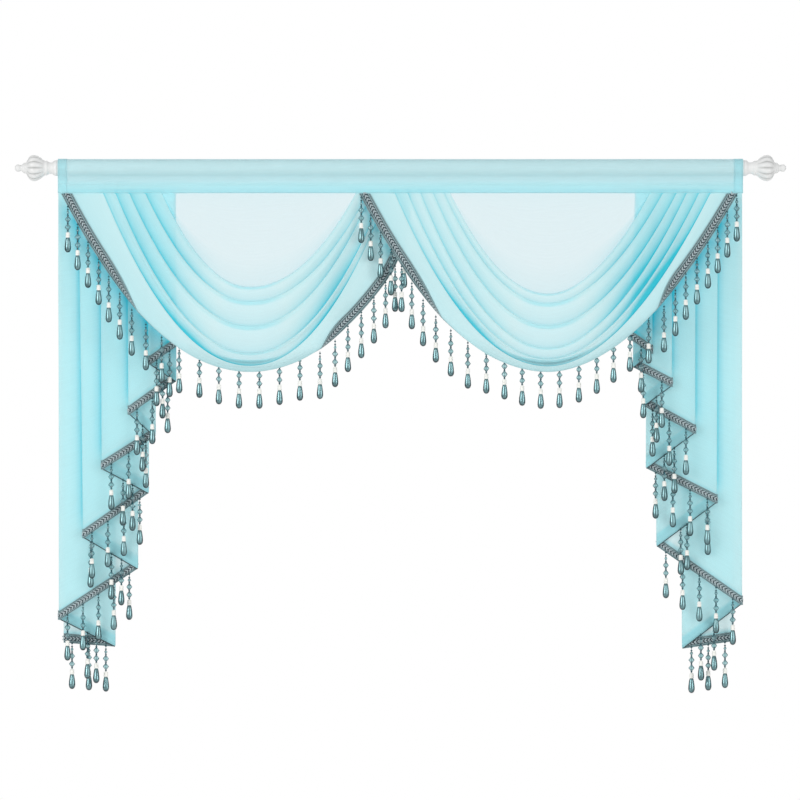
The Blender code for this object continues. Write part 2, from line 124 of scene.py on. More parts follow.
# place and aim in millimetres, width and height in millimetres, power in watts
Lamp = namedtuple("Lamp", "name place aim size power")
LAMPS = (
    Lamp("left_softbox", (-5200.0, -5200.0, 1400.0), (0.0, 0.0, -450.0), (3200.0, 4600.0), 190.0),
    Lamp("right_softbox", (5200.0, -5200.0, 400.0), (0.0, 0.0, -500.0), (2200.0, 4600.0), 110.0),
    Lamp("back_softbox", (0.0, 3300.0, 700.0), (0.0, 0.0, -450.0), (3200.0, 2600.0), 34.0),
)
for lamp in LAMPS:
    light = bpy.data.lights.new(lamp.name, "AREA")
    light.shape = "RECTANGLE"
    light.size = lamp.size[0] * MM
    light.size_y = lamp.size[1] * MM
    light.energy = lamp.power
    holder = bpy.data.objects.new(lamp.name, light)
    holder.location = Vector(lamp.place) * MM
    way = (Vector(lamp.aim) - Vector(lamp.place)).to_track_quat("-Z", "Y")
    holder.rotation_euler = way.to_euler()
    scene.collection.objects.link(holder)

lens = bpy.data.cameras.new("camera")
lens.lens = LENS
lens.sensor_width = SENSOR
lens.clip_end = 100.0
camera = bpy.data.objects.new("camera", lens)
camera.location = Vector((VIEW_CENTRE[0], -VIEW_WIDTH * LENS / SENSOR, VIEW_CENTRE[1])) * MM
camera.rotation_euler = (np.pi / 2.0, 0.0, 0.0)
scene.collection.objects.link(camera)
scene.camera = camera
scene.view_settings.view_transform = "Standard"
# Enough for a ray to pass through every sheer layer of a tail
scene.cycles.transparent_max_bounces = 48


# ---------------------------------------------------------------- rod and finials
# A 35 mm steel tube, powder coated white, runs through the drape's pocket.  Each end
# is closed by a moulded resin finial: a neck, a fluted bulb and a stepped tip, painted
# with the same satin white.
ROD_HALF = 752.0
FLUTES = 12
FINIAL_SEGMENTS = 144
FINIAL_STEPS = 5
FLUTE_DEPTH = 2.8
RIB_BLUNT = 0.7
GROOVE_EDGE = 1.5
# How far out from the rod's end, the radius there, and how deep the flutes are cut
FINIAL_PROFILE = (
    (0.3, 17.5, 0.0), (4.0, 17.0, 0.0), (12.0, 12.6, 0.0), (18.0, 13.3, 0.0),
    (23.0, 16.4, 0.0), (26.0, 16.0, 0.0), (34.0, 22.0, 1.6), (43.0, 27.6, 2.6),
    (51.0, 29.3, FLUTE_DEPTH), (58.0, 27.0, 2.4), (65.0, 17.5, 1.0), (67.5, 12.4, 0.0),
    (72.0, 11.6, 0.0), (79.0, 6.6, 0.0), (83.0, 7.7, 0.0), (88.0, 7.7, 0.0), (92.5, 3.0, 0.0),
)


def smooth_through(keys, steps):
    """Rows of a smooth curve through key rows, each gap split by its entry in steps."""
    keys = np.asarray(keys, float)
    flat = keys.reshape(len(keys), -1, keys.shape[-1])
    gaps = np.maximum(np.linalg.norm(np.diff(flat, axis=0), axis=2).mean(axis=1), 1e-6)
    wide = gaps.reshape(-1, *[1] * (keys.ndim - 1))
    slopes = np.diff(keys, axis=0) / wide
    inner = (wide[1:] * slopes[:-1] + wide[:-1] * slopes[1:]) / (wide[1:] + wide[:-1])
    pull = np.concatenate([slopes[:1], inner, slopes[-1:]])
    rows = []
    for index, count in enumerate(steps):
        start, end = keys[index], keys[index + 1]
        for s in np.arange(count) / count:
            rows.append((2 * s ** 3 - 3 * s ** 2 + 1) * start + (3 * s ** 2 - 2 * s ** 3) * end
                        + (s ** 3 - 2 * s ** 2 + s) * gaps[index] * pull[index]
                        + (s ** 3 - s ** 2) * gaps[index] * pull[index + 1])
    rows.append(keys[-1])
    return np.array(rows)


def set_values(mesh, name, values, kind="FLOAT", domain="POINT"):
    """A value for each point or face of a mesh, which a node tree reads."""
    layer = mesh.attributes.new(name, kind, domain)
    values = np.asarray(values, np.int32 if kind == "INT" else np.float32)
    layer.data.foreach_set("vector" if kind == "FLOAT_VECTOR" else "value", values.ravel())


def tube_faces(rings, segments):
    """Faces of a tube from its rings of points, closed flat at both ends."""
    faces = []
    for low in range(0, (rings - 1) * segments, segments):
        for index in range(segments):
            after = low + (index + 1) % segments
            faces.append((low + index, after, after + segments, low + index + segments))
    faces.append(tuple(range(segments))[::-1])
    faces.append(tuple(range((rings - 1) * segments, rings * segments)))
    return faces


# Satin white paint with a faint cloudy wear, and a painted shade that greys its grooves
satin_white, tree = new_material("satin_white_paint")
groove = add_node(tree, "Attribute", attribute_name="groove")
place = add_node(tree, "TexCoord").outputs["Object"]
cloud = add_node(tree, "TexNoise", {"Vector": place, "Scale": 60.0, "Detail": 3.0})
worn = add_node(tree, "Math", {0: cloud, 1: 0.25}, operation="MULTIPLY")
shade_and_wear = add_node(tree, "Math", {
    0: groove.outputs["Fac"], 1: worn}, operation="ADD", use_clamp=True)
tone = add_node(tree, "Mix", {0: shade_and_wear, 6: srgb("#EFEFEE"), 7: srgb("#B9BAB8")}, data_type="RGBA")
peel = add_node(tree, "TexNoise", {"Vector": place, "Scale": 450.0})
relief = add_node(tree, "Bump", {"Height": peel, "Strength": 0.12, "Distance": 0.0004})
paint = add_node(tree, "BsdfPrincipled", {
    "Base Color": tone, "Roughness": 0.34, "IOR": 1.5, "Coat Weight": 0.25, "Coat Roughness": 0.2,
    "Normal": relief})
add_node(tree, "OutputMaterial", {"Surface": paint})

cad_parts["rod"].material_slots[0].material = satin_white

angles = np.arange(FINIAL_SEGMENTS) * 2.0 * np.pi / FINIAL_SEGMENTS
rib = np.abs(np.sin(angles * FLUTES / 2.0)) ** RIB_BLUNT
rings = smooth_through(FINIAL_PROFILE, [FINIAL_STEPS] * (len(FINIAL_PROFILE) - 1))
out, radius, flute = rings.T[..., None]
depth = np.maximum(flute, 0.0)
reach = radius - depth * (1.0 - rib)
for side, name in ((-1.0, "finial_left"), (1.0, "finial_right")):
    x = np.broadcast_to(side * (ROD_HALF + out), reach.shape)
    points = np.stack([x, reach * np.cos(angles), reach * np.sin(angles)], axis=2)
    faces = tube_faces(len(rings), FINIAL_SEGMENTS)
    if side < 0.0:
        faces = [face[::-1] for face in faces]
    finial = add_mesh(name + "_turned", points, faces, [satin_white])
    # The groove value is painted shade: greyest deep in a flute, none on its ribs
    set_values(finial.data, "groove", depth / FLUTE_DEPTH * (1.0 - rib) ** GROOVE_EDGE)
    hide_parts(name)
    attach(finial, "root")


# ---------------------------------------------------------------- heading
# A band of the same voile folded over the rod: a 45 mm pocket, then a sewn strip that
# holds the tops of the swags and tails.  Both ends are turned in as a 20 mm double hem;
# straight machine stitches close the hems and run along both edges of the strip.
WIDTH = 1500.0
POCKET_RADIUS = 19.5
STITCH_Z = -37.0
SEAM_Z = -55.0
TUCK_Z = -46.0
FRONT_Y = -4.5
LAYER_PITCH = 1.6
TAIL_Y = 0.3
TAIL_PANELS = 11
BACK_SPREAD = 35.0
TAIL_TOPS = (-450.0, 463.0)
VOILE = 0.45
HEM_FOLD = 20.0
THREAD_PITCH = 1.1
STITCH_LENGTH = 3.2
STITCH_PITCH = 4.4
HEM_INSET = 2.0
END_LIFT = 0.6
END_SEAM_LIFT = 1.0
# Slow waves along the band: how high, how long, and where in its turn each starts
RIPPLES = ((0.35, 41.0, 0.0), (0.25, 17.3, 1.0))
RIPPLE_FRONT = 4.0
# Cover, how much of the view a layer stops, and how deep its colour goes: painted shade,
# and the deeper colour of layers lying behind
STRIP_LOOK, POCKET_LOOK, END_LOOK = (0.72, 0.1), (0.64, 0.0), (0.68, 0.06)
BAND_STATIONS = 181
HEM_STATIONS = 6
POCKET_STEPS = 25
STRIP_STEPS = 5
SLOPE_SHARES = np.array([[0.33], [0.67]])
# A wave texture at scale 1 repeats every 0.314 of a unit
WAVE_PITCH = 0.31416


def ease(value):
    """Smooth step from 0 to 1."""
    value = np.clip(value, 0.0, 1.0)
    return value * value * (3.0 - 2.0 * value)


# Polyester voile, plain woven from fine twisted yarn: each layer lets about half the
# light through, so it whitens over a bright room and deepens where folds lie together.
# Its colour also deepens by an attribute: painted shade in folds, under hems and behind
# fold edges, and the deeper colour of layers lying behind.
# A real thread is 0.3 mm; the weave is drawn at 1.1 mm so that it shows close to.
voile, tree = new_material("aqua_voile_plain_weave")
cut = add_node(tree, "UVMap", uv_map="cut")
warp, weft = [add_node(tree, "TexWave", {
    "Vector": cut, "Scale": WAVE_PITCH / (THREAD_PITCH * MM)}, bands_direction=way)
    for way in "XY"]
threads = add_node(tree, "Math", {
    0: warp.outputs["Fac"], 1: weft.outputs["Fac"]}, operation="MAXIMUM")
stretch = add_node(tree, "Mapping", {"Vector": cut, "Scale": (14.0, 380.0, 1.0)})
slub = add_node(tree, "TexNoise", {"Vector": stretch, "Scale": 1.0, "Detail": 2.0})
cover = add_node(tree, "Attribute", attribute_name="cover").outputs["Fac"]
crease = add_node(tree, "Attribute", attribute_name="crease")
uneven = add_node(tree, "MapRange", {"Value": slub, 1: 0.3, 2: 0.7, 3: -0.015, 4: 0.015})
woven = add_node(tree, "MapRange", {"Value": threads, 1: 0.0, 2: 1.0, 3: -0.12, 4: 0.04})
pattern = add_node(tree, "Math", {0: uneven, 1: woven}, operation="ADD")
opacity = add_node(tree, "Math", {0: cover, 1: pattern}, operation="ADD", use_clamp=True)
# By cover: the sheerest cloth takes a greyer tone, a painted shade
flat_tone = add_node(tree, "ValToRGB", {0: cover})
stops = flat_tone.color_ramp.elements
stops[0].position, stops[0].color = 0.4, srgb("#B6D9E2")
stops[1].position, stops[1].color = 0.84, srgb("#CDEAEC")
stops.new(0.72).color = srgb("#BFE9EE")
# The deep colour mixed in by the shade attribute: painted shade, with the deeper colour of layers
# behind
tone = add_node(tree, "Mix", {
    0: crease.outputs["Fac"], 6: flat_tone, 7: srgb("#2EC5D6")}, data_type="RGBA")
relief = add_node(tree, "Bump", {"Height": threads, "Strength": 0.25, "Distance": 0.0002})
yarn = add_node(tree, "BsdfPrincipled", {
    "Base Color": tone, "Roughness": 0.6, "IOR": 1.5, "Sheen Weight": 0.15, "Sheen Roughness": 0.4,
    "Specular IOR Level": 0.25, "Normal": relief})
glow = add_node(tree, "BsdfTranslucent", {"Color": tone})
through = add_node(tree, "MapRange", {"Value": cover, 1: 0.75, 2: 0.98, 3: 0.45, 4: 0.03})
cloth = add_node(tree, "MixShader", {0: through, 1: yarn, 2: glow})
clear = add_node(tree, "BsdfTransparent")
sheer = add_node(tree, "MixShader", {0: opacity, 1: clear, 2: cloth})
# Light that goes on through the yarn is tinted, not stopped
dye = add_node(tree, "Mix", {
    0: opacity, 6: (1.0, 1.0, 1.0, 1.0), 7: (0.96, 0.965, 0.955, 1.0)}, data_type="RGBA")
tinted = add_node(tree, "BsdfTransparent", {"Color": dye})
ray = add_node(tree, "LightPath")
lit = add_node(tree, "MixShader", {0: ray.outputs["Is Shadow Ray"], 1: sheer, 2: tinted})
facing = add_node(tree, "NewGeometry")
one_skin = add_node(tree, "MixShader", {0: facing.outputs["Backfacing"], 1: lit, 2: clear})
add_node(tree, "OutputMaterial", {"Surface": one_skin})


def set_cuts(piece, cuts):
    """The flat pattern map: where each point lay on the cut cloth, in millimetres."""
    layer = piece.data.uv_layers.new(name="cut")
    corners = np.zeros(len(piece.data.loops), np.int32)
    piece.data.loops.foreach_get("vertex_index", corners)
    layer.data.foreach_set("uv", (np.asarray(cuts)[corners] * MM).astype(np.float32).ravel())


def add_cloth(name, grids):
    """Voile from grids of points with their cover and painted shade, given a woven thickness."""
    points, faces, covers, creases, cuts = [], [], [], [], []
    for grid, cover_of, shade_and_layers_of in grids:
        start = sum(len(part) for part in points)
        rows, columns = grid.shape[:2]
        down = np.linalg.norm(np.diff(grid, axis=0), axis=2).cumsum(axis=0)
        along = np.linalg.norm(np.diff(grid, axis=1), axis=2).cumsum(axis=1)
        v = np.concatenate([np.zeros((1, columns)), down]).mean(axis=1)
        u = np.concatenate([np.zeros((rows, 1)), along], axis=1).mean(axis=0)
        cuts.append(np.stack(np.meshgrid(u, v), axis=2).reshape(-1, 2))
        points.append(grid.reshape(-1, 3))
        covers.append(np.broadcast_to(cover_of, (rows, columns)).ravel())
        creases.append(np.broadcast_to(shade_and_layers_of, (rows, columns)).ravel())
        corner = (start + np.arange(rows - 1)[:, None] * columns + np.arange(columns - 1)).ravel()
        quads = np.stack([corner, corner + columns, corner + columns + 1, corner + 1], axis=1)
        faces += quads.tolist()
    piece = add_mesh(name, np.concatenate(points), faces, [voile])
    set_values(piece.data, "cover", np.concatenate(covers))
    set_values(piece.data, "crease", np.concatenate(creases))
    set_cuts(piece, np.concatenate(cuts))
    wall = piece.modifiers.new("yarn_thickness", "SOLIDIFY")
    wall.thickness = VOILE * MM
    wall.offset = 0.0
    return piece


def yarn_material(name, low, high, roughness, lustre):
    """Twisted yarn: fine slanting ply lines that go from a dark groove to a lit crown."""
    made, tree = new_material(name)
    cut = add_node(tree, "UVMap", uv_map="cut")
    turned = add_node(tree, "Mapping", {"Vector": cut, "Rotation": (0.0, 0.0, 0.7)})
    ply = add_node(tree, "TexWave", {
        "Vector": turned, "Scale": 260.0, "Distortion": 1.5, "Detail": 1.0}).outputs["Fac"]
    tone = add_node(tree, "Mix", {0: ply, 6: srgb(low), 7: srgb(high)}, data_type="RGBA")
    relief = add_node(tree, "Bump", {"Height": ply, "Strength": 0.5, "Distance": 0.0003})
    yarn = add_node(tree, "BsdfPrincipled", {
        "Base Color": tone, "Roughness": roughness, "Metallic": lustre, "Sheen Weight": 0.2,
        "Normal": relief})
    add_node(tree, "OutputMaterial", {"Surface": yarn})
    return made


def add_solid(name, points, faces, materials, slots, cuts):
    """A mesh with a material slot for each face and its own flat pattern map."""
    piece = add_mesh(name, points, faces, materials)
    piece.data.polygons.foreach_set("material_index", slots)
    set_cuts(piece, cuts)
    return piece


def new_group(name, sockets):
    """A geometry node tree with its named inputs and one geometry output."""
    group = bpy.data.node_groups.new(name, "GeometryNodeTree")
    group.interface.new_socket("Geometry", in_out="INPUT", socket_type="NodeSocketGeometry")
    for socket, kind in sockets.items():
        group.interface.new_socket(socket, in_out="INPUT", socket_type="NodeSocket" + kind)
    group.interface.new_socket("Geometry", in_out="OUTPUT", socket_type="NodeSocketGeometry")
    return group, add_node(group, "NodeGroupInput").outputs


# Sets one small shape at an even pitch along a path, its X along the path and its Z the
# way the path faces
along_path, given = new_group("repeat_along_path", {
    "Shape": "Object", "Pitch": "Float", "Yarn": "Material", "Wobble": "Float", "Seed": "Int"})
curve = add_node(along_path, "GeometryNodeMeshToCurve", {0: given["Geometry"]})
even = add_node(along_path, "GeometryNodeResampleCurve", {
    "Curve": curve, "Length": given["Pitch"]}, mode="LENGTH")
tangent = add_node(along_path, "GeometryNodeInputTangent")
front = add_node(along_path, "GeometryNodeInputNamedAttribute", {
    "Name": "facing"}, data_type="FLOAT_VECTOR")
ahead = add_node(along_path, "FunctionNodeAlignRotationToVector", {"Vector": tangent}, axis="X")
square = add_node(along_path, "FunctionNodeAlignRotationToVector", {
    "Rotation": ahead, "Vector": front}, axis="Z", pivot_axis="X")
less = add_node(along_path, "Math", {0: given["Wobble"], 1: -1.0}, operation="MULTIPLY")
wobble = add_node(along_path, "FunctionNodeRandomValue", {
    "Min": less, "Max": given["Wobble"], "Seed": given["Seed"]}, data_type="FLOAT")
swing = add_node(along_path, "CombineXYZ", {"Z": wobble})
placed = add_node(along_path, "FunctionNodeRotateRotation", {
    "Rotation": square, "Rotate By": swing}, rotation_space="LOCAL")
shape = add_node(along_path, "GeometryNodeObjectInfo", {"Object": given["Shape"]})
copies = add_node(along_path, "GeometryNodeInstanceOnPoints", {
    "Points": even, "Instance": shape.outputs["Geometry"], "Rotation": placed})
solid = add_node(along_path, "GeometryNodeRealizeInstances", {0: copies})
dyed = add_node(along_path, "GeometryNodeSetMaterial", {
    "Geometry": solid, "Material": given["Yarn"]})
add_node(along_path, "NodeGroupOutput", {0: dyed})


def grow(name, source, group, values):
    """The plain mesh object that a node tree makes from a source mesh."""
    piece = bpy.data.objects.new(name, source)
    scene.collection.objects.link(piece)
    modifier = piece.modifiers.new(group.name, "NODES")
    modifier.node_group = group
    for item in group.interface.items_tree:
        if item.name in values:
            modifier[item.identifier] = values[item.name]
    graph = bpy.context.evaluated_depsgraph_get()
    made = bpy.data.meshes.new_from_object(piece.evaluated_get(graph), depsgraph=graph)
    piece.modifiers.clear()
    piece.data = made
    return piece


def path_mesh(points, facing):
    """A line through points that carries the way it faces."""
    mesh = bpy.data.meshes.new("path")
    edges = [(index, index + 1) for index in range(len(points) - 1)]
    mesh.from_pydata((points * MM).tolist(), edges, [])
    set_values(mesh, "facing", facing, "FLOAT_VECTOR")
    return mesh


def capped_faces(start, rings, segments):
    """Faces of a shape round its rings of points, closed to one point at both ends."""
    last = start + rings * segments + 1
    faces = []
    for index in range(segments):
        after = (index + 1) % segments
        faces.append((start, start + 1 + index, start + 1 + after))
        for low in range(start + 1, last - segments, segments):
            faces.append((low + index, low + index + segments, low + after + segments,
                          low + after))
        faces.append((last, last - segments + after, last - segments + index))
    return faces


def pebble(length, width, height, slant=0.0, shift=0.0, segments=6, rings=4):
    """Points and faces of a small rounded stitch, turned by slant and set across by shift."""
    angle = (np.pi * np.arange(1, rings) / rings)[:, None]
    turn = np.arange(segments) * 2.0 * np.pi / segments
    round_it = np.stack(np.broadcast_arrays(
        -length / 2.0 * np.cos(angle), width / 2.0 * np.sin(angle) * np.cos(turn),
        height * np.sin(angle) * np.sin(turn)), axis=2).reshape(-1, 3)
    x, y, z = np.array([(-length / 2.0, 0.0, 0.0), *round_it, (length / 2.0, 0.0, 0.0)]).T
    turned = np.stack([x * np.cos(slant) - y * np.sin(slant),
                       x * np.sin(slant) + y * np.cos(slant) + shift, z], axis=1)
    # Its rings run towards +X, so its faces are turned over
    return turned, [face[:1] + face[:0:-1] for face in capped_faces(0, rings - 1, segments)]


def add_stitch(name, parts):
    """One stitch of the braid from its rounded parts, taken away once it is copied."""
    points = np.concatenate([part[0] for part in parts])
    faces, start = [], 0
    for part in parts:
        faces += [tuple(start + corner for corner in face) for face in part[1]]
        start += len(part[0])
    return add_solid(name, points, faces, [], [0] * len(faces), points[:, :2])


def join(name, pieces):
    """Several meshes as one object."""
    with bpy.context.temp_override(active_object=pieces[0], selected_editable_objects=pieces):
        bpy.ops.object.join()
    pieces[0].name = name
    return pieces[0]


def heading_section(x, lift):
    """Once round the band at x: front strip, over the rod, back strip; lift stands it off."""
    back_y = TAIL_Y + TAIL_PANELS * LAYER_PITCH * max(
        ease((TAIL_TOPS[0] - x) / BACK_SPREAD), ease((x - TAIL_TOPS[1]) / BACK_SPREAD))
    radius = POCKET_RADIUS + lift
    front, back = np.array([[FRONT_Y - lift, STITCH_Z], [back_y + lift, STITCH_Z]])
    leaves = [np.arctan2(STITCH_Z, end[0]) + way * np.arccos(radius / np.hypot(*end))
              for end, way in ((front, -1.0), (back, 1.0))]
    turn = np.linspace(leaves[0] + 2.0 * np.pi, leaves[1], POCKET_STEPS)
    over = radius * np.stack([np.cos(turn), np.sin(turn)], axis=1)
    strip = np.linspace(SEAM_Z, STITCH_Z, STRIP_STEPS)
    section = [(front[0], z) for z in strip]
    section += [*(front + SLOPE_SHARES * (over[0] - front)), *over]
    section += [*(over[-1] + SLOPE_SHARES * (back - over[-1]))]
    section += [(back[0], z) for z in strip[::-1]]
    return [(x, y, z) for y, z in section]


half = WIDTH / 2.0
stations = np.linspace(-half, half, BAND_STATIONS)
band = np.array([heading_section(x, 0.0) for x in stations]).transpose(1, 0, 2)
# The front ripples forward while the rest ripples back, so that none of it lies dead flat
ripple = sum(high * np.sin(band[..., 0] / long + start) for high, long, start in RIPPLES)
band[..., 1] -= ripple * np.sign(FRONT_Y - band[..., 1] + RIPPLE_FRONT)
hem_stations = np.linspace(0.0, HEM_FOLD, HEM_STATIONS)
end_hems = [np.array([heading_section(start + along, END_LIFT) for along in hem_stations])
            for start in (-half, half - HEM_FOLD)]
sewn = band[..., 2] < STITCH_Z + 1.0
look = np.where(sewn[..., None], STRIP_LOOK, POCKET_LOOK)
heading = add_cloth("heading_band", [
    (band, look[..., 0], look[..., 1]),
    *[(hem.transpose(1, 0, 2), *END_LOOK) for hem in end_hems],
])
stitch = add_stitch("sewing_stitch", [
    pebble(STITCH_LENGTH, width=0.7, height=0.35, segments=4, rings=3)])
# Spun polyester thread dyed to match, with painted shade in its ply grooves and a painted
# highlight on their crowns
sewing_thread = yarn_material("aqua_spun_polyester_thread", "#9FD2DC", "#DDF3F6", 0.5, 0.0)
seams = []
for row, rise, way in ((0, HEM_INSET, -1.0), (STRIP_STEPS - 1, 0.0, -1.0),
                       (-STRIP_STEPS, 0.0, 1.0), (-1, HEM_INSET, 1.0)):
    out = np.array([0.0, way, 0.0])
    seams.append((band[row] + out * VOILE + [0.0, 0.0, rise], np.tile(out, (len(stations), 1))))
for way in (-1.0, 1.0):
    round_band = np.array(heading_section(way * (half - HEM_FOLD + HEM_INSET), END_SEAM_LIFT))
    out = np.cross([1.0, 0.0, 0.0], np.gradient(round_band, axis=0))
    seams.append((round_band, out))
rows = [grow("seam", path_mesh(line, out), along_path, {
    "Shape": stitch, "Pitch": STITCH_PITCH * MM, "Yarn": sewing_thread, "Wobble": 0.04,
    "Seed": 2}) for line, out in seams]
stitches = join("heading_stitches", rows)
bpy.data.objects.remove(stitch)
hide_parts("heading")
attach(heading, "root")
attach(stitches, "root")


# ---------------------------------------------------------------- swags
# Two half-moons of voile cut on the bias, each hung from both ends of its half of the
# heading.  Their tops are laid in knife pleats, so every fold runs as a hanging curve
# and overlaps the one above it.  The right swag crosses in front of the left one.
SWAG_WIDTH = 830.0
SWAG_DROP = 388.0
BELLY = 26.0
BELLY_POWER = 0.8
FOLD_POWER = 8
LOWERED = np.array([0.0, 0.0, 1.0])
BRAID_WIDTH = 22.0
HEM_RELIEF = 5.0
HEM_TURN = 9.0
HEM_BOW = 2.5
HEM_MARGIN = 1.0
ROLL_STAGES = (0.0, 0.5, 0.6, 1.0)
SHADOW_REACH = 0.28
MOUTH_REACH = 0.13
SWAG_COLUMNS = 221
NUDGE = 1e-4
BACK = np.array([0.0, 1.0, 0.0])
LEAST_SLANT = 0.3
# Each of these is a full amount, where it starts to rise, and over how far it rises.
# By x, where the swags cross: how far the right one stands out over the left one, what
# share of its depth the left one gives up, and how much painted shade the hem in front
# casts on it.
CROSS_LIFT = (9.0, -100.0, 120.0)
CROSS_SINK = (0.7, -160.0, 80.0)
CROSS_NEAR = (0.65, -5.0, 20.0)
# By the place along a fold: its ends are crowded, take more painted shade and the
# deeper colour of layers behind, the outer end most of all, and the hem's turn comes
# to run level there.
CROWDING = (0.17, 0.12, 0.3)
END_STRENGTH = (0.1, 0.3, 0.4)
OUTER_STRENGTH = (0.25, 0.3, 0.4)
END_LINING = (0.08, 0.2, 0.5)
OUTER_LINING = (0.1, 0.35, 0.4)
LEVEL_END = (1.0, 0.6, 0.3)
STRENGTH = 0.5
# How the painted shade round the hem of a swag in front sets in on the cloth behind it
HEM_FADE = (1.0, -30.0, 40.0)
CROSS_SOFT = 25.0
# Covers of the folds and of the sheer middle by share of its depth, and the painted
# shade and cover of the hem
FOLD_COVER = 0.74
OPEN_COVER = 0.5
OPEN_MIDDLE = ((0.005, 0.54), (0.2, 0.5), (0.45, 0.49), (0.7, 0.49))
OPEN_STEPS = 4
HEM_LOOK = (0.2, 0.98)
# Pleat rows above this belong to the band over the fold
BAND_ABOVE = -0.2
# How far a pleat's painted dark mouth opens, by the share of the band above its fold line
MOUTH_AT, MOUTH_OPEN = (-0.8, -0.5, -0.03, 0.0), (0.0, 1.0, 1.0, 0.0)

Fold = namedtuple("Fold", "inset_left inset_right drop height shadows")
Swag = namedtuple("Swag", "side corner seam_y powers roll_in roll_out folds bend_from braid_end "
                          "front")
# Each swag has its left corner and the depth of its seam, how full each half curves,
# where along it the hem turns under and comes out again, where its right end bends
# behind the other swag, and how far right its braid runs.
# Each fold from the open middle down: how far in from the corners it leaves the
# heading, how deep it hangs, how far it stands out, and its painted shadows.  A shadow
# is a place along the fold, how much more painted shade the pleat takes there, and how
# far its painted dark mouth gapes.
LEFT_FOLDS = (
    Fold(221.0, 184.0, 206.0, 4.0, ((-0.6, 0.2, 0.0),)),
    Fold(184.0, 157.0, 237.0, 7.0, ((-0.55, 0.4, 0.0), (0.8, 0.2, 0.0))),
    Fold(149.0, 148.0, 291.0, 9.0, ((-0.5, 0.3, 0.0), (0.8, 0.4, 0.1))),
    Fold(119.0, 122.0, 350.0, 9.0, ((-0.6, 0.2, 0.0), (0.64, 0.9, 0.2))),
    Fold(92.0, 112.0, 378.0, 5.0, ((-0.42, 1.2, 0.3), (0.0, 0.5, 0.0), (0.55, 1.0, 0.3))),
)
RIGHT_FOLDS = (
    Fold(200.0, 193.0, 221.0, 4.0, ((0.6, 0.2, 0.0),)),
    Fold(186.0, 164.0, 241.0, 6.0, ((0.6, 0.3, 0.0),)),
    Fold(162.0, 134.0, 290.0, 9.0, ((0.55, 0.4, 0.1),)),
    Fold(134.0, 112.0, 339.0, 8.0, ((-0.7, 0.2, 0.0), (0.6, 0.7, 0.3))),
    Fold(106.0, 85.0, 361.0, 8.0, ((-0.7, 0.2, 0.0), (0.6, 0.9, 0.4))),
    Fold(78.0, 60.0, 379.0, 5.0, ((-0.5, 1.2, 0.4), (0.0, 0.4, 0.0), (0.655, 1.4, 1.0))),
)
SWAGS = (
    Swag("left", -743.5, -1.3, (2.06, 2.06), (-0.81, -0.59, -0.4, -0.25), (0.22, 0.52),
         LEFT_FOLDS, -40.0, 4.0, False),
    Swag("right", -90.9, -2.9, (2.06, 1.86), (-0.79, -0.56, -0.42, -0.28), (0.42, 0.72),
         RIGHT_FOLDS, None, 740.0, True),
)

# A knife pleat in section: beyond is a share of the band below the fold line, out a
# share of the fold's height, and shade how much of the deep fold colour it takes as
# painted shade
Pleat = namedtuple("Pleat", "beyond out shade steps")
PLEAT = [Pleat(*row) for row in (
    (-0.62, 0.72, 0.10, 3), (-0.34, 0.36, 0.26, 3), (-0.15, 0.08, 0.44, 2),
    (-0.055, -0.06, 0.70, 2), (-0.01, -0.14, 0.74, 2), (0.05, -0.20, 0.50, 2),
    (0.12, -0.24, 0.30, 2), (0.145, -0.10, 0.10, 2), (0.12, 0.10, 0.10, 2),
    (0.04, 0.32, 0.10, 2), (-0.005, 0.50, 0.10, 2), (-0.025, 0.72, 0.00, 2),
    (0.01, 0.94, 0.00, 2), (0.08, 1.00, 0.00, 3),
)]


def rising(value, full, start, run):
    """What sets in smoothly as a value passes start and is full after run."""
    return full * ease((value - start) / run)


def swag_line(swag, inset_left, inset_right, drop, place):
    """A hanging line across a swag, from place -1 at the left to 1 at the right."""
    middle = swag.corner + SWAG_WIDTH / 2.0
    reach = SWAG_WIDTH / 2.0 - np.where(place < 0.0, inset_left, inset_right)
    power = np.where(place < 0.0, *swag.powers)
    return middle + place * reach, SEAM_Z - drop * (1.0 - np.abs(place) ** power)


def swag_depth(swag, x, drop, out, place):
    """How far forward a line stands: the swag's belly and its own fold."""
    belly = BELLY * (drop / SWAG_DROP) ** BELLY_POWER * (1.0 - place ** 2)
    forward = belly + out * (1.0 - np.abs(place) ** FOLD_POWER)
    if swag.front:
        forward = forward + rising(-x, *CROSS_LIFT) * (1.0 - np.abs(place) ** FOLD_POWER)
    else:
        forward = forward * (1.0 - rising(x, *CROSS_SINK))
    return swag.seam_y - forward


def swag_outline(swag, place):
    """The lowest line of a swag, its right end drawn in where it runs behind."""
    x, z = swag_line(swag, 0.0, 0.0, SWAG_DROP, place)
    if swag.bend_from is not None:
        past = np.maximum(x - swag.bend_from, 0.0)
        x = x - past ** 2 / (2.0 * (swag.corner + SWAG_WIDTH - swag.bend_from))
    return x, z


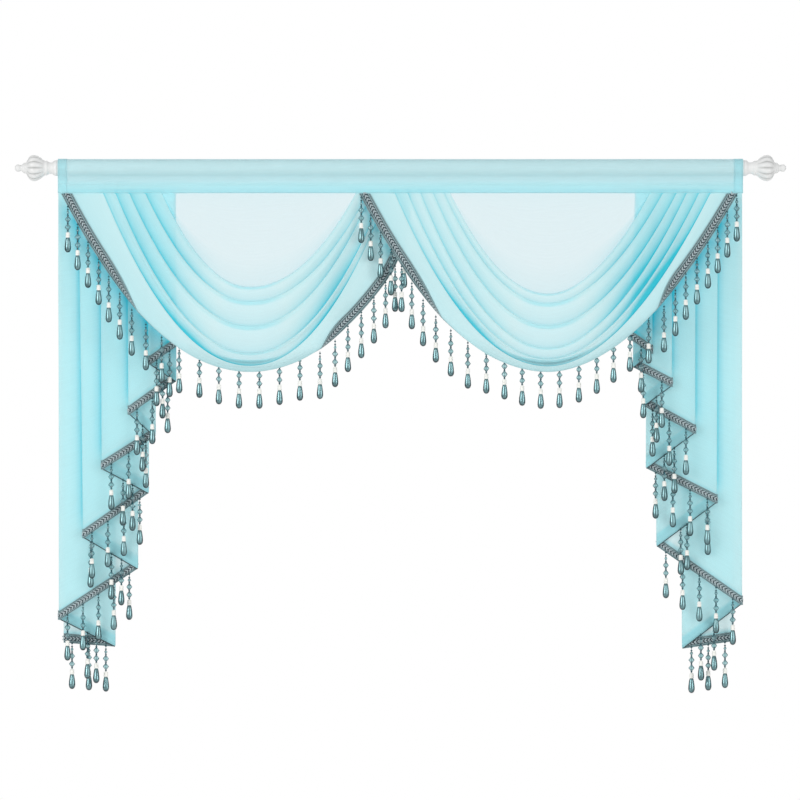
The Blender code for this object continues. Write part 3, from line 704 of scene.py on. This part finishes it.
def swag_hem(swag, place):
    """Turned edge, far side of the turn and cut hem, and the way the braid faces."""
    before_x, before_z = swag_outline(swag, place - NUDGE)
    after_x, after_z = swag_outline(swag, place + NUDGE)
    length = np.hypot(after_x - before_x, after_z - before_z)
    outward = np.zeros((len(place), 3))
    outward[:, 0] = (after_z - before_z) / length
    outward[:, 2] = (before_x - after_x) / length
    under = np.interp(place, swag.roll_in, ROLL_STAGES)
    out = np.interp(place, swag.roll_out, (0.0, 1.0))
    turn = (np.pi * (under - out))[:, None]
    face_out = np.maximum(np.cos(turn), 0.0)
    level = np.zeros_like(outward)
    level[:, 0] = np.sign(outward[:, 0]) / np.maximum(np.abs(outward[:, 0]), LEAST_SLANT)
    near_end = rising(np.abs(place), *LEVEL_END)[:, None]
    across = outward * (1.0 - near_end) + level * near_end
    x, z = swag_outline(swag, place)
    y = swag_depth(swag, x, SWAG_DROP, HEM_RELIEF, place)
    edge = np.stack([x, y, z], axis=1) - across * face_out * (BRAID_WIDTH + 2.0 * HEM_MARGIN)
    far = edge + across * face_out * HEM_MARGIN + BACK * HEM_TURN * np.sin(turn / 2.0) ** 2
    hem = far + (across * np.cos(turn) + BACK * np.sin(turn)) * (BRAID_WIDTH + HEM_MARGIN)
    facing = outward * np.sin(turn) - BACK * np.cos(turn)
    return edge, far, hem, facing


def hem_shade(swag, place, x, z, reach):
    """How strongly the hem of a swag in front lays painted shade on cloth near it, fading up and
    faster down.
    """
    hem_x, hem_z = swag_outline(swag, place)
    under = np.interp(x, hem_x, hem_z) - z
    return np.exp(-np.abs(under) / reach) * rising(under, *HEM_FADE)


places = np.linspace(-1.0, 1.0, SWAG_COLUMNS)
swag_grids = {}


def swag_row(swag, line, out, shade, cover, steps):
    """One line of a swag: its points, shade and cover, and the steps to the next line."""
    x, z = swag_line(swag, *line, places)
    y = swag_depth(swag, x, line[2], out, places)
    return np.stack([x, y, z], axis=1) - LOWERED, shade, cover, steps


# Folds crowd together towards both ends, so more layers lie over each other there
ends = np.abs(places)
crowd = rising(ends, *CROWDING)
for swag in SWAGS:
    first = swag.folds[0]
    rows = [swag_row(swag, (*first[:2], first.drop * share), 0.0, 0.0, cover, OPEN_STEPS)
            for share, cover in OPEN_MIDDLE]
    hem_fold = Fold(0.0, 0.0, SWAG_DROP, HEM_RELIEF, ())
    above = np.array((*first[:2], first.drop * OPEN_MIDDLE[-1][0]))
    outer = places * (1.0 if swag.front else -1.0)
    for fold, lower in zip(swag.folds, swag.folds[1:] + (hem_fold,)):
        here = np.array(fold[:3])
        ahead = np.array(lower[:3]) - here
        strength = STRENGTH + rising(ends, *END_STRENGTH) + rising(outer, *OUTER_STRENGTH)
        mouth = np.zeros_like(places)
        for place, more_shade, gape in fold.shadows:
            strength += more_shade * np.exp(-((places - place) / SHADOW_REACH) ** 2)
            mouth += gape * np.exp(-((places - place) / MOUTH_REACH) ** 2)
        lining = rising(ends, *END_LINING)
        if lower is not hem_fold:
            lining += rising(outer, *OUTER_LINING)
        for pleat in PLEAT:
            if fold is first and pleat.beyond < BAND_ABOVE:
                continue
            line = here + (ahead if pleat.beyond > 0.0 else here - above) * pleat.beyond
            cover = FOLD_COVER + crowd
            if fold is first and pleat.beyond < 0.0:
                cover = OPEN_COVER
            if lower is hem_fold and pleat.beyond > BAND_ABOVE:
                cover = HEM_LOOK[1]
            gape = np.interp(pleat.beyond, MOUTH_AT, MOUTH_OPEN)
            # Painted shade of the pleat and of its dark mouth, with the deeper colour of layers
            # behind
            shade = pleat.shade * strength + mouth * gape + lining
            rows.append(swag_row(swag, line, pleat.out * fold.height, shade, cover, pleat.steps))
        above = here
    edge, far, hem = [line - LOWERED for line in swag_hem(swag, places)[:3]]
    folded = np.linalg.norm(far - edge, axis=1)[:, None] / HEM_TURN
    outward = edge - rows[-1][0]
    outward /= np.maximum(np.linalg.norm(outward, axis=1), 1e-6)[:, None]
    for share, bow, count in ((0.0, 0.0, 2), (0.5, HEM_BOW, 2), (1.0, 0.0, 6)):
        turned = edge + (far - edge) * share + outward * bow * folded
        rows.append((turned, *HEM_LOOK, count))
    rows.append((hem, *HEM_LOOK, 0))
    keys, shades, covers, steps = zip(*rows)
    grid = smooth_through(keys, steps[:-1])
    # Shade and cover go straight from line to line
    at = np.concatenate([index + np.arange(count) / count
                         for index, count in enumerate(steps[:-1])] + [[len(keys) - 1.0]])
    low = np.minimum(at.astype(int), len(keys) - 2)
    part = (at - low)[:, None]
    looks = [np.array([np.broadcast_to(value, places.shape) for value in values])
             for values in (shades, covers)]
    crease, cover = [look[low] * (1.0 - part) + look[low + 1] * part for look in looks]
    # Painted shade on the left swag just under the right swag's hem, where they cross
    if not swag.front:
        near = rising(grid[..., 0] - SWAGS[1].corner, *CROSS_NEAR)
        crease = crease + near * hem_shade(SWAGS[1], places, grid[..., 0], grid[..., 2],
                                           CROSS_SOFT)
    # The top and both ends go straight up into the sewn strip
    grid = np.pad(grid, ((1, 0), (1, 1), (0, 0)), mode="edge")
    crease, cover = [np.pad(look, ((1, 0), (1, 1)), mode="edge") for look in (crease, cover)]
    grid[0, :, 1] = swag.seam_y
    grid[0, :, 2] = grid[:, 0, 2] = grid[:, -1, 2] = TUCK_Z
    piece = add_cloth("swag_%s_voile" % swag.side, [
        (grid, cover, np.clip(crease, 0.0, 1.0))])
    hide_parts("swag_" + swag.side)
    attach(piece, "root")
    swag_grids[swag.side] = grid


# ---------------------------------------------------------------- tails
# A straight length of voile each side, folded back and forth like a fan and cut on a
# slant, so that its hem falls in steps from the inner edge down to the outer one.
TAIL_LAYER_PITCH = 8.2
TAIL_FORWARD = 16.5
TAIL_FORWARD_DEPTH = 220.0
TAIL_FIRST_OPEN = 250.0
TAIL_OPEN_STEP = 62.0
BRAID_RISE = 18.5
BRAID_OVERHANG = 2.5
PANEL_COLUMNS = 9
NEAR_FOLD = (-1.0, 0.5, 4.0, 10.0, 20.0)
BEND_COLUMNS = 5
TAIL_ROWS = 96
TAIL_SWELL = 1.3
LEAST_SHARE = 0.01
BEND_TOP, BEND_MORE = 0.8, 1.6
# Cloth behind a fold takes painted shade from the fold's hem up, most of all beside its edge
SHADED_LAYER = 1.2
SHADED_OVER = 1.0
SHADED_RISE = 60.0
SHADED_SOFT = 7.0
# Painted shade under the swag's hem, a deeper colour on the returns, and all of it fading out
# towards the seam
SWAG_SHADE = 0.75
SWAG_SOFT = 34.0
RETURN_DEEPER = 0.1
SEAM_FADE = 60.0
# The cut hem is turned up double behind the braid
DOUBLED_RISE = 30.0
DOUBLED_EDGE = 6.0
DOUBLED_DEEPER = 0.36
TAIL_COVER, DOUBLED_COVER = 0.8, 0.17

Edge = namedtuple("Edge", "x_top x_hem z_hem")
# The fold edges of each tail from the inner one outwards: x at the seam, and x and z at
# the cut hem
TAILS = {side: [Edge(*row) for row in rows] for side, rows in {
    "left": (
        (-491.7, -491.7, -389.3), (-558.5, -548.6, -428.7), (-495.0, -493.8, -465.9),
        (-597.0, -594.6, -538.2), (-537.0, -539.8, -586.4), (-656.0, -653.7, -658.6),
        (-553.0, -555.2, -711.2), (-704.0, -695.3, -809.7), (-575.0, -579.3, -877.6),
        (-749.0, -749.0, -989.3), (-625.0, -629.6, -1048.4), (-745.0, -741.3, -1039.7),
    ),
    "right": (
        (513.6, 504.8, -373.9), (551.0, 549.7, -404.6), (517.0, 512.2, -434.8),
        (593.0, 593.5, -476.9), (537.0, 535.0, -519.6), (645.0, 645.0, -579.8),
        (543.0, 541.6, -656.4), (694.0, 693.1, -733.1), (562.0, 565.2, -828.3),
        (748.0, 749.0, -956.5), (618.0, 622.0, -1052.8), (742.0, 732.5, -1036.4),
    ),
}.items()}


def part_way(start, end, share):
    """Each number of two matching rows, taken a share of the way from start to end."""
    return [a + share * (b - a) for a, b in zip(start, end)]


def tail_y(layer, z):
    """Layers lie close at the seam and fan out below it, each by its own hem."""
    depth = np.maximum(SEAM_Z - z, 0.0)
    y = TAIL_Y + TAIL_FORWARD * ease(depth / TAIL_FORWARD_DEPTH)
    for gap in range(TAIL_PANELS - 1):
        opened = np.minimum(depth / (TAIL_FIRST_OPEN + gap * TAIL_OPEN_STEP), 1.0)
        width = LAYER_PITCH + (TAIL_LAYER_PITCH - LAYER_PITCH) * opened
        y = y + width * np.clip(layer - gap, 0.0, 1.0)
    return y


tail_hems = {}
outline_places = np.linspace(-1.0, 1.0, 401)
for side, edges in TAILS.items():
    outer = np.sign(edges[0].x_hem)
    columns = []
    for panel in range(TAIL_PANELS):
        here, there = edges[panel:panel + 2]
        way = -1.0 if panel % 2 == 0 else 1.0
        shares = list(np.linspace(0.0, 1.0, PANEL_COLUMNS))
        for edge in edges[1:max(panel, 1):2]:
            for past in NEAR_FOLD:
                share = (edge.x_hem + outer * past - here.x_hem) / (there.x_hem - here.x_hem)
                if LEAST_SHARE < share < 1.0 - LEAST_SHARE:
                    shares.append(share)
        for share in sorted(shares):
            columns.append((*part_way(here, there, share), panel, 0.0,
                            np.sin(np.pi * share) * way, 0.0, way))
        if panel < TAIL_PANELS - 1:
            side_way = np.sign(there.x_hem - here.x_hem)
            for turn in np.linspace(0.0, np.pi, BEND_COLUMNS + 2)[1:-1]:
                columns.append((*there, panel + 0.5 - 0.5 * np.cos(turn), side_way * np.sin(turn),
                                0.0, outer * np.sin(turn), way * np.cos(turn)))
    x_top, x_hem, z_hem, layer, bend, swell, face_x, face_y = map(np.array, zip(*columns))
    down = np.linspace(0.0, 1.0, TAIL_ROWS)[:, None]
    z = TUCK_Z + down * (z_hem - TUCK_Z)
    opened = ease((SEAM_Z - z) / TAIL_FORWARD_DEPTH)
    radius = BEND_TOP + BEND_MORE * opened
    x = x_top + (x_hem - x_top) * np.maximum(SEAM_Z - z, 0.0) / (SEAM_Z - z_hem)
    y = tail_y(layer, z) + TAIL_SWELL * opened * swell
    grid = np.stack([x + bend * radius, y, z], axis=2)
    # Painted shade behind each fold edge and under the swag, with a deeper colour on the returns
    # and the doubled hem
    crease = np.zeros_like(z)
    for index, edge in enumerate(edges[1:-1:2]):
        share = np.clip((SEAM_Z - z) / (SEAM_Z - edge.z_hem), 0.0, 1.0)
        past = outer * (x - (edge.x_top + (edge.x_hem - edge.x_top) * share))
        behind = (layer > 2 * index + SHADED_LAYER) & (z > edge.z_hem) & (past > -SHADED_OVER)
        fading = ease((z - edge.z_hem) / SHADED_RISE) * np.exp(
            -np.maximum(past, 0.0) / SHADED_SOFT)
        crease = crease + np.where(behind, fading, 0.0)
    over = SWAGS[0] if side == "left" else SWAGS[1]
    shade = SWAG_SHADE * hem_shade(over, outline_places, x, z, SWAG_SOFT)
    doubled = ease((z_hem + DOUBLED_RISE - z) / DOUBLED_EDGE)
    crease += shade + RETURN_DEEPER * np.maximum(face_y, 0.0) + DOUBLED_DEEPER * doubled
    crease = np.clip(crease, 0.0, 1.0) * ease((SEAM_Z - z) / SEAM_FADE)
    cover = TAIL_COVER + DOUBLED_COVER * doubled
    piece = add_cloth("tail_%s_voile" % side, [(grid, cover, crease)])
    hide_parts("tail_" + side)
    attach(piece, "root")
    facing = np.stack([face_x, face_y, np.zeros_like(face_x)], axis=1)
    inner, hem = [np.stack([x_hem + bend * radius[-1],
                            tail_y(layer, z_hem + rise) + TAIL_SWELL * swell,
                            z_hem + rise], axis=1) for rise in (BRAID_RISE, -BRAID_OVERHANG)]
    tail_hems[side] = (inner, facing, hem)


# ---------------------------------------------------------------- braid
# A gimp braid of dark slate yarn, some 22 mm wide, is sewn along every cut hem: a cord
# and a row of light stitches at each side, and a silver chain plaited down its middle.
# Where a hem is turned under, the braid goes round behind the cloth with it.
BRAID_GAP = 0.6
BRAID_STEP = 3.0
SWAG_BRAID = 0.96
ROOT_SHARE = 0.1
LINK_PITCH = 7.6
DASH_PITCH = 3.4
STITCH_HEIGHT = 1.15

# Across the braid from its inner edge: share of the width, and height off the cloth
BRAID_SECTION = (
    (0.00, 0.30), (0.00, 1.10), (0.03, 1.60), (0.09, 1.75), (0.115, 0.90), (0.14, 1.65),
    (0.21, 1.60), (0.25, 0.80), (0.36, 0.75), (0.50, 0.75), (0.64, 0.75), (0.75, 0.80),
    (0.79, 1.60), (0.86, 1.65), (0.885, 0.90), (0.91, 1.75), (0.97, 1.60), (1.00, 1.10),
    (1.00, 0.30),
)
DARK_BANDS = ((0.08, 0.15), (0.28, 0.72), (0.85, 0.92))


# Dark rayon gimp, dull in its grooves, between cords of greyer teal; silver
# lurex, a little shiny, for the plait
slate_gimp = yarn_material("slate_rayon_gimp", "#20323A", "#465C64", 0.6, 0.0)
silver_lurex = yarn_material("silver_lurex_thread", "#8CA3A9", "#DCE6E8", 0.4, 0.2)
teal_cord = yarn_material("teal_grey_rayon_cord", "#577A80", "#ABC5C8", 0.45, 0.1)


def run_along(line):
    """How far along a line of points each one lies."""
    return np.concatenate([[0.0], np.linalg.norm(np.diff(line, axis=0), axis=1).cumsum()])


def braid_ribbon(name, inner, hem, facing):
    """The woven ground of the braid, swept along a hem with its section."""
    share, height = np.array(BRAID_SECTION).T[..., None]
    spread = inner[:, None] + (hem - inner)[:, None] * share
    points = spread + facing[:, None] * (height + BRAID_GAP)
    along = run_along(hem)
    width = np.linalg.norm(hem - inner, axis=1)
    cuts = np.stack(np.broadcast_arrays(along[:, None], width[:, None] * share[:, 0]), axis=2)
    faces = tube_faces(len(inner), len(BRAID_SECTION))
    middles = (share + np.roll(share, -1, axis=0))[:, 0] / 2.0
    slots = [0 if any(low < middle < high for low, high in DARK_BANDS) else 1
             for middle in middles] * (len(inner) - 1) + [0, 0]
    across = np.cross(hem[1] - hem[0], hem[0] - inner[0])
    if across @ facing[0] > 0.0:
        faces = [face[::-1] for face in faces]
    return add_solid(name, points, faces, [slate_gimp, teal_cord], slots, cuts.reshape(-1, 2))


def resample(lines, step):
    """Matching lines of points at an even step along the last of them."""
    length = run_along(lines[-1])
    marks = np.linspace(0.0, length[-1], max(2, int(round(length[-1] / step)) + 1))
    return [np.stack([np.interp(marks, length, line[:, axis]) for axis in range(3)], axis=1)
            for line in lines]


link = add_stitch("plait_link", [
    pebble(8.8, width=3.2, height=height, slant=0.6 * way, shift=1.9 * way, rings=5)
    for height, way in ((1.5, 1.0), (1.3, -1.0))])
dash = add_stitch("edge_dash", [pebble(2.4, width=0.8, height=0.5)])

hems = {}
hem_places = np.linspace(-1.0, 1.0, 1601)
for swag in SWAGS:
    edge, far, hem, facing = swag_hem(swag, hem_places)
    keep = hem[:, 0] < swag.braid_end
    far, hem = far[keep] - LOWERED, hem[keep] - LOWERED
    lines = [hem + (far - hem) * SWAG_BRAID, facing[keep], hem]
    hems["swag_" + swag.side] = resample(lines, BRAID_STEP)
for side, lines in tail_hems.items():
    hems["tail_" + side] = resample(lines, BRAID_STEP)

for name, (inner, facing, hem) in hems.items():
    facing = facing / np.linalg.norm(facing, axis=1)[:, None]
    pieces = [braid_ribbon("braid_" + name, inner, hem, facing)]
    for share, shape_used, pitch, yarn_used, loose, seed in (
            (0.50, link, LINK_PITCH, silver_lurex, 0.12, 3),
            (0.245, dash, DASH_PITCH, teal_cord, 0.2, 5),
            (0.755, dash, DASH_PITCH, teal_cord, 0.2, 7)):
        line = inner + (hem - inner) * share + facing * (BRAID_GAP + STITCH_HEIGHT)
        pieces.append(grow("row", path_mesh(line, facing), along_path, {
            "Shape": shape_used, "Pitch": pitch * MM, "Yarn": yarn_used, "Wobble": loose,
            "Seed": seed}))
    braid = join("braid_" + name, pieces)
    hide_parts("trim_" + name)
    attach(braid, "root")


# ---------------------------------------------------------------- bead drops
# Strung every 43 mm or so on a knotted thread: a rice bead, two cut glass bicones between
# seed beads, a ribbed ivory cap and a teardrop of pearlised acrylic.
TAIL_PITCH = 42.5
# How far along the hem some of the drops hang, by their count; the others are spaced
# evenly between them
SWAG_DROPS = {
    "left": ((0, 27.5), (5, 250.0), (10, 470.0), (15, 692.0), (22, 989.0),
             (23, 1045.0)),
    "right": ((0, 5.0), (5, 224.0), (9, 403.0), (14, 607.0), (19, 824.0), (24, 1036.0),
              (27, 1157.0)),
}
SWAG_STEP = 7.5
TAIL_STEP = 4.2
END_MARGIN = 10.0
PEARL_FADE = 1.5
ANY_TURN = 6.28
# A lean is how far a drop's pearl hangs towards the back, over the reach down to it, so
# that a drop that leans forward has a negative one
LEAN_REACH = 88.0
LEAN_END_X = 60.0
BEADS_BESIDE = 30.0
BEADS_BELOW = (20.0, 125.0)
CLEAR_OF_CLOTH = 11.0
FRONT_LEAN = -1.0
RETURN_LEAN = -6.4
# A drop that would cut the braid behind it is sewn at the hem's very edge and leans
# forward over that braid.  Some drops are pushed along the hem by those beside them: by
# the drop's count, so many mm to the right.
CROSSING_REACH = 108.0
CROSSING_STEP = 0.5
CROSSING_LEAN = -14.0
PUSHED = {"left": {2: 6.0, 6: 12.0, 10: 16.0, 11: 2.0, 17: 12.0, 24: 16.0, 25: -2.0},
          "right": {3: -10.0, 7: -16.0, 14: -9.0, 15: 14.0, 21: -6.0, 22: 2.0}}

Bead = namedtuple("Bead", "kind centre profile segments sharp")
THREAD, SEED, GLASS, CAP, PEARL = range(5)
SEED_SHAPE = ((0.0, 1.9), (1.8, 1.2), (2.4, 0.0), (1.8, -1.2), (0.0, -1.9))
GLASS_SHAPE = ((0.0, 7.3), (1.6, 7.0), (6.4, 0.8), (6.4, -0.8), (1.6, -7.0), (0.0, -7.3))
RICE_SHAPE = ((0.0, 4.6), (1.1, 4.4), (3.6, 0.5), (3.6, -0.5), (1.1, -4.4), (0.0, -4.6))
CAP_SHAPE = ((0.0, 6.4), (1.8, 6.3), (2.1, 5.5), (4.0, 5.1), (4.6, 4.3), (4.6, 2.4), (4.0, 1.8),
             (4.6, 1.2), (4.8, 0.2), (4.7, -0.7), (4.1, -1.3), (4.8, -1.9), (4.9, -4.0),
             (4.4, -5.2), (3.6, -6.2), (0.0, -6.4))
PEARL_SHAPE = ((0.0, 16.6), (3.0, 16.4), (4.3, 15.2), (5.2, 11.0), (6.0, 6.0), (6.7, 0.5),
               (7.1, -4.5), (7.1, -7.5), (6.6, -10.8), (5.4, -13.6), (3.3, -15.7), (0.0, -16.6))
BEADS = (
    Bead(THREAD, -30.0, ((0.0, 30.0), (0.6, 29.8), (0.6, -29.8), (0.0, -30.0)), 6, False),
    Bead(SEED, -4.5, SEED_SHAPE, 8, False),
    Bead(SEED, -11.0, SEED_SHAPE, 8, False),
    Bead(GLASS, -17.3, RICE_SHAPE, 6, True),
    Bead(SEED, -23.3, SEED_SHAPE, 8, False),
    Bead(GLASS, -32.0, GLASS_SHAPE, 8, True),
    Bead(SEED, -40.7, SEED_SHAPE, 8, False),
    Bead(GLASS, -49.4, GLASS_SHAPE, 8, True),
    Bead(SEED, -57.9, SEED_SHAPE, 8, False),
    Bead(CAP, -66.3, CAP_SHAPE, 16, False),
    Bead(PEARL, -88.4, PEARL_SHAPE, 20, False),
)

# Waxed polyester thread, dark teal with paler plies
thread_paint, tree = new_material("teal_waxed_bead_thread")
place = add_node(tree, "TexCoord")
twist = add_node(tree, "TexNoise", {"Vector": place.outputs["Object"], "Scale": 900.0})
tone = add_node(tree, "Mix", {0: twist, 6: srgb("#2B464D"), 7: srgb("#5F7E85")}, data_type="RGBA")
paint = add_node(tree, "BsdfPrincipled", {"Base Color": tone, "Roughness": 0.7})
add_node(tree, "OutputMaterial", {"Surface": paint})


def bead_material(name, low, high, scale, roughness, coat, lustre=0.0, rim_share=0.0,
                  clear_share=0.0):
    """A moulded or cut bead: its colour goes from high to low with painted shade towards its tips
    and rim, and varies by cloud.
    """
    made, tree = new_material(name)
    depth = add_node(tree, "Attribute", attribute_name="tip").outputs["Fac"]
    place = add_node(tree, "TexCoord")
    cloud = add_node(tree, "TexNoise", {
        "Vector": place.outputs["Object"], "Scale": scale, "Detail": 2.0})
    shift = add_node(tree, "MapRange", {"Value": cloud, 1: 0.3, 2: 0.7, 3: -0.2, 4: 0.2})
    # A painted dark rim where the surface turns away from view
    rim = add_node(tree, "LayerWeight", {"Blend": 0.5}).outputs["Facing"]
    rim_shade = add_node(tree, "MapRange", {"Value": rim, 1: 0.2, 2: 0.7, 3: 0.0, 4: rim_share})
    shaded = add_node(tree, "Math", {0: rim_shade, 1: shift}, operation="ADD")
    at = add_node(tree, "Math", {0: depth, 1: shaded}, operation="ADD", use_clamp=True)
    tone = add_node(tree, "Mix", {0: at, 6: srgb(high), 7: srgb(low)}, data_type="RGBA")
    body = add_node(tree, "BsdfPrincipled", {
        "Base Color": tone, "Roughness": roughness, "Metallic": lustre, "IOR": 1.5,
        "Coat Weight": coat, "Coat Roughness": 0.1})
    if clear_share == 0.0:
        add_node(tree, "OutputMaterial", {"Surface": body})
        return made
    clear = add_node(tree, "BsdfTransparent", {"Color": srgb("#CFE9EA")})
    # The glass stays solid, and so dark, where its painted shade is deepest
    darker = add_node(tree, "Math", {
        0: depth, 1: 0.6, 2: rim}, operation="MULTIPLY_ADD", use_clamp=True)
    open_at = add_node(tree, "MapRange", {
        "Value": darker, 1: 0.45, 2: 0.8, 3: clear_share, 4: 0.0})
    glass = add_node(tree, "MixShader", {0: open_at, 1: body, 2: clear})
    add_node(tree, "OutputMaterial", {"Surface": glass})
    return made


# Seed beads of dark teal glass, a little darker towards their holes with painted shade
seed_glass = bead_material("dark_teal_seed_glass", "#173F47", "#2A6068", 300.0, 0.15, 0.6)
# Cut glass takes painted shade towards its bored tips and rim, and is clear round its middle
cut_glass = bead_material("aqua_cut_glass", "#0B4C5A", "#D4F4F7", 200.0, 0.05, 1.0,
                          rim_share=0.9, clear_share=0.7)
# Ivory caps go grey where they narrow, at their ends and in their grooves, as painted shade
ivory = bead_material("ivory_moulded_plastic", "#B4B8B4", "#FBFAF4", 150.0, 0.35, 0.3)
# Pearl lacquer over acrylic: a soft metallic body under a hard clear shine, with painted
# shade darkening it towards its rim and its lower tip
pearl_lacquer = bead_material("teal_pearl_lacquer", "#0F2F36", "#8DBABE", 90.0, 0.29, 1.0,
                              lustre=0.75, rim_share=1.0)
BEAD_PAINTS = (thread_paint, seed_glass, cut_glass, ivory, pearl_lacquer)


def bead_strand():
    """One whole drop hanging down -Z from its knot, each face marked with its bead's kind."""
    points, faces, kinds, tips, sharp = [], [], [], [], []
    for bead in BEADS:
        radii, heights = np.array(bead.profile).T
        reach = np.abs(heights).max()
        rings = len(radii) - 2
        faces += capped_faces(len(points), rings, bead.segments)
        points.append((0.0, 0.0, bead.centre + heights[0]))
        tips.append(1.0 if bead.kind != PEARL else 0.0)
        for radius, height in zip(radii[1:-1], heights[1:-1]):
            for angle in np.arange(bead.segments) * 2.0 * np.pi / bead.segments:
                points.append((radius * np.cos(angle), radius * np.sin(angle),
                               bead.centre + height))
            # How much painted shade a ring takes: more towards a bead's ends, over the lower part
            # of the pearl, and where the cap narrows
            tip = abs(height) / reach
            if bead.kind == PEARL:
                tip = max(0.0, -height / reach) ** PEARL_FADE
            elif bead.kind == CAP:
                tip = 1.0 - radius / radii.max()
            tips += [tip] * bead.segments
        points.append((0.0, 0.0, bead.centre + heights[-1]))
        tips.append(1.0)
        made = bead.segments * (rings + 1)
        kinds += [bead.kind] * made
        sharp += [bead.sharp] * made
    strand = add_mesh("strand", points, faces, [])
    set_values(strand.data, "tip", tips)
    set_values(strand.data, "kind", kinds, "INT", "FACE")
    strand.data.polygons.foreach_set("use_smooth", [not flat for flat in sharp])
    return strand


# Hangs a copy of the strand from every point, leaned by the point's own angle and spun
# at random, then gives each kind of bead its material
hang, given = new_group("hang_strands", {
    "Strand": "Object", "Spin": "Float", "Seed": "Int",
    **{"Paint %d" % kind: "Material" for kind in range(len(BEAD_PAINTS))}})
lean = add_node(hang, "GeometryNodeInputNamedAttribute", {"Name": "lean"}, data_type="FLOAT")
spin = add_node(hang, "FunctionNodeRandomValue", {
    "Min": 0.0, "Max": given["Spin"], "Seed": given["Seed"]}, data_type="FLOAT")
tilt = add_node(hang, "CombineXYZ", {"X": lean})
turned = add_node(hang, "CombineXYZ", {"Z": spin})
posed = add_node(hang, "FunctionNodeRotateRotation", {
    "Rotation": tilt, "Rotate By": turned}, rotation_space="LOCAL")
shape = add_node(hang, "GeometryNodeObjectInfo", {"Object": given["Strand"]})
copies = add_node(hang, "GeometryNodeInstanceOnPoints", {
    "Points": given["Geometry"], "Instance": shape.outputs["Geometry"], "Rotation": posed})
solid = add_node(hang, "GeometryNodeRealizeInstances", {0: copies})
kind_of = add_node(hang, "GeometryNodeInputNamedAttribute", {"Name": "kind"}, data_type="INT")
painted = solid
for kind in range(len(BEAD_PAINTS)):
    same = add_node(hang, "FunctionNodeCompare", {
        2: kind_of, 3: kind}, data_type="INT", operation="EQUAL")
    painted = add_node(hang, "GeometryNodeSetMaterial", {
        "Geometry": painted, "Selection": same, "Material": given["Paint %d" % kind]})
add_node(hang, "NodeGroupOutput", {0: painted})


def near_cloth_lean(cloth, root):
    """The lean, forward or none, with which a drop clears the cloth behind it."""
    spots = cloth.reshape(-1, 3)
    beside = np.abs(spots[:, 0] - root[0]) < BEADS_BESIDE
    high, low = root[2] - np.array(BEADS_BELOW)
    level = (spots[:, 2] < high) & (spots[:, 2] > low)
    found = spots[beside & level]
    if root[0] > LEAN_END_X or len(found) == 0:
        return 0.0
    return min(0.0, found[:, 1].min() - CLEAR_OF_CLOTH - root[1])


def panel_shares(edges, panel):
    """Where drops hang along a tail's panel; a return's hang between those behind it."""
    here, there = edges[panel:panel + 2]
    if panel % 2 == 0:
        length = np.hypot(there.x_hem - here.x_hem, there.z_hem - here.z_hem)
        count = max(1, int(round(length / TAIL_PITCH)))
        return (np.arange(count) + 0.5) / count
    behind, beyond = edges[panel + 1:panel + 3]
    shares = panel_shares(edges, panel + 1)
    middles = shares - (shares[1] - shares[0]) / 2.0
    x = part_way(behind, beyond, middles)[1]
    shares = (x - here.x_hem) / (there.x_hem - here.x_hem)
    margin = END_MARGIN / abs(there.x_hem - here.x_hem)
    return np.sort(shares[(shares > margin) & (shares < 1.0 - margin)])


drops = {}
drop_places = np.linspace(-1.0, 1.0, 2001)
for swag in SWAGS:
    edge, far, hem, facing = swag_hem(swag, drop_places)
    length = run_along(hem[:, ::2])
    counts, marks = zip(*SWAG_DROPS[swag.side])
    spots, leans = [], []
    for place in np.searchsorted(length, np.interp(np.arange(counts[-1] + 1), counts, marks)):
        spot = (hem[place] + (far[place] - hem[place]) * ROOT_SHARE
                + facing[place] * SWAG_STEP - LOWERED)
        spots.append(spot)
        leans.append(near_cloth_lean(swag_grids["left"], spot) if swag.front else 0.0)
    drops["swag_" + swag.side] = (spots, np.array(leans))
for side, edges in TAILS.items():
    spots, leans = [], []
    for panel in range(TAIL_PANELS):
        here, there = edges[panel:panel + 2]
        returns = panel % 2 == 1
        for share in panel_shares(edges, panel):
            pushed = PUSHED[side].get(len(spots), 0.0)
            share = share + pushed / (there.x_hem - here.x_hem)
            x_here, z_here = part_way(here, there, share)[1:]
            z_root = z_here + BRAID_RISE * ROOT_SHARE
            step, lean = (TAIL_STEP, RETURN_LEAN) if returns else (-TAIL_STEP, FRONT_LEAN)
            if returns:
                behind, beyond = edges[panel + 1:panel + 3]
                past = (x_here - behind.x_hem) / (beyond.x_hem - behind.x_hem)
                if z_root - part_way(behind, beyond, past)[2] < CROSSING_REACH:
                    step, lean = CROSSING_STEP, CROSSING_LEAN
            spots.append((x_here, tail_y(panel, z_root) + step, z_root))
            leans.append(lean)
    drops["tail_" + side] = (spots, np.array(leans))

strand = bead_strand()
for name, (spots, leans) in drops.items():
    mesh = bpy.data.meshes.new("roots")
    mesh.from_pydata((np.array(spots) * MM).tolist(), [], [])
    set_values(mesh, "lean", np.arctan2(leans, LEAN_REACH))
    beads = grow("bead_drops_" + name, mesh, hang, {
        "Strand": strand, "Spin": ANY_TURN, "Seed": 11,
        **{"Paint %d" % kind: paint for kind, paint in enumerate(BEAD_PAINTS)}})
    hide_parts("trim_" + name)
    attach(beads, "root")
for shape_used in (link, dash, strand):
    bpy.data.objects.remove(shape_used)
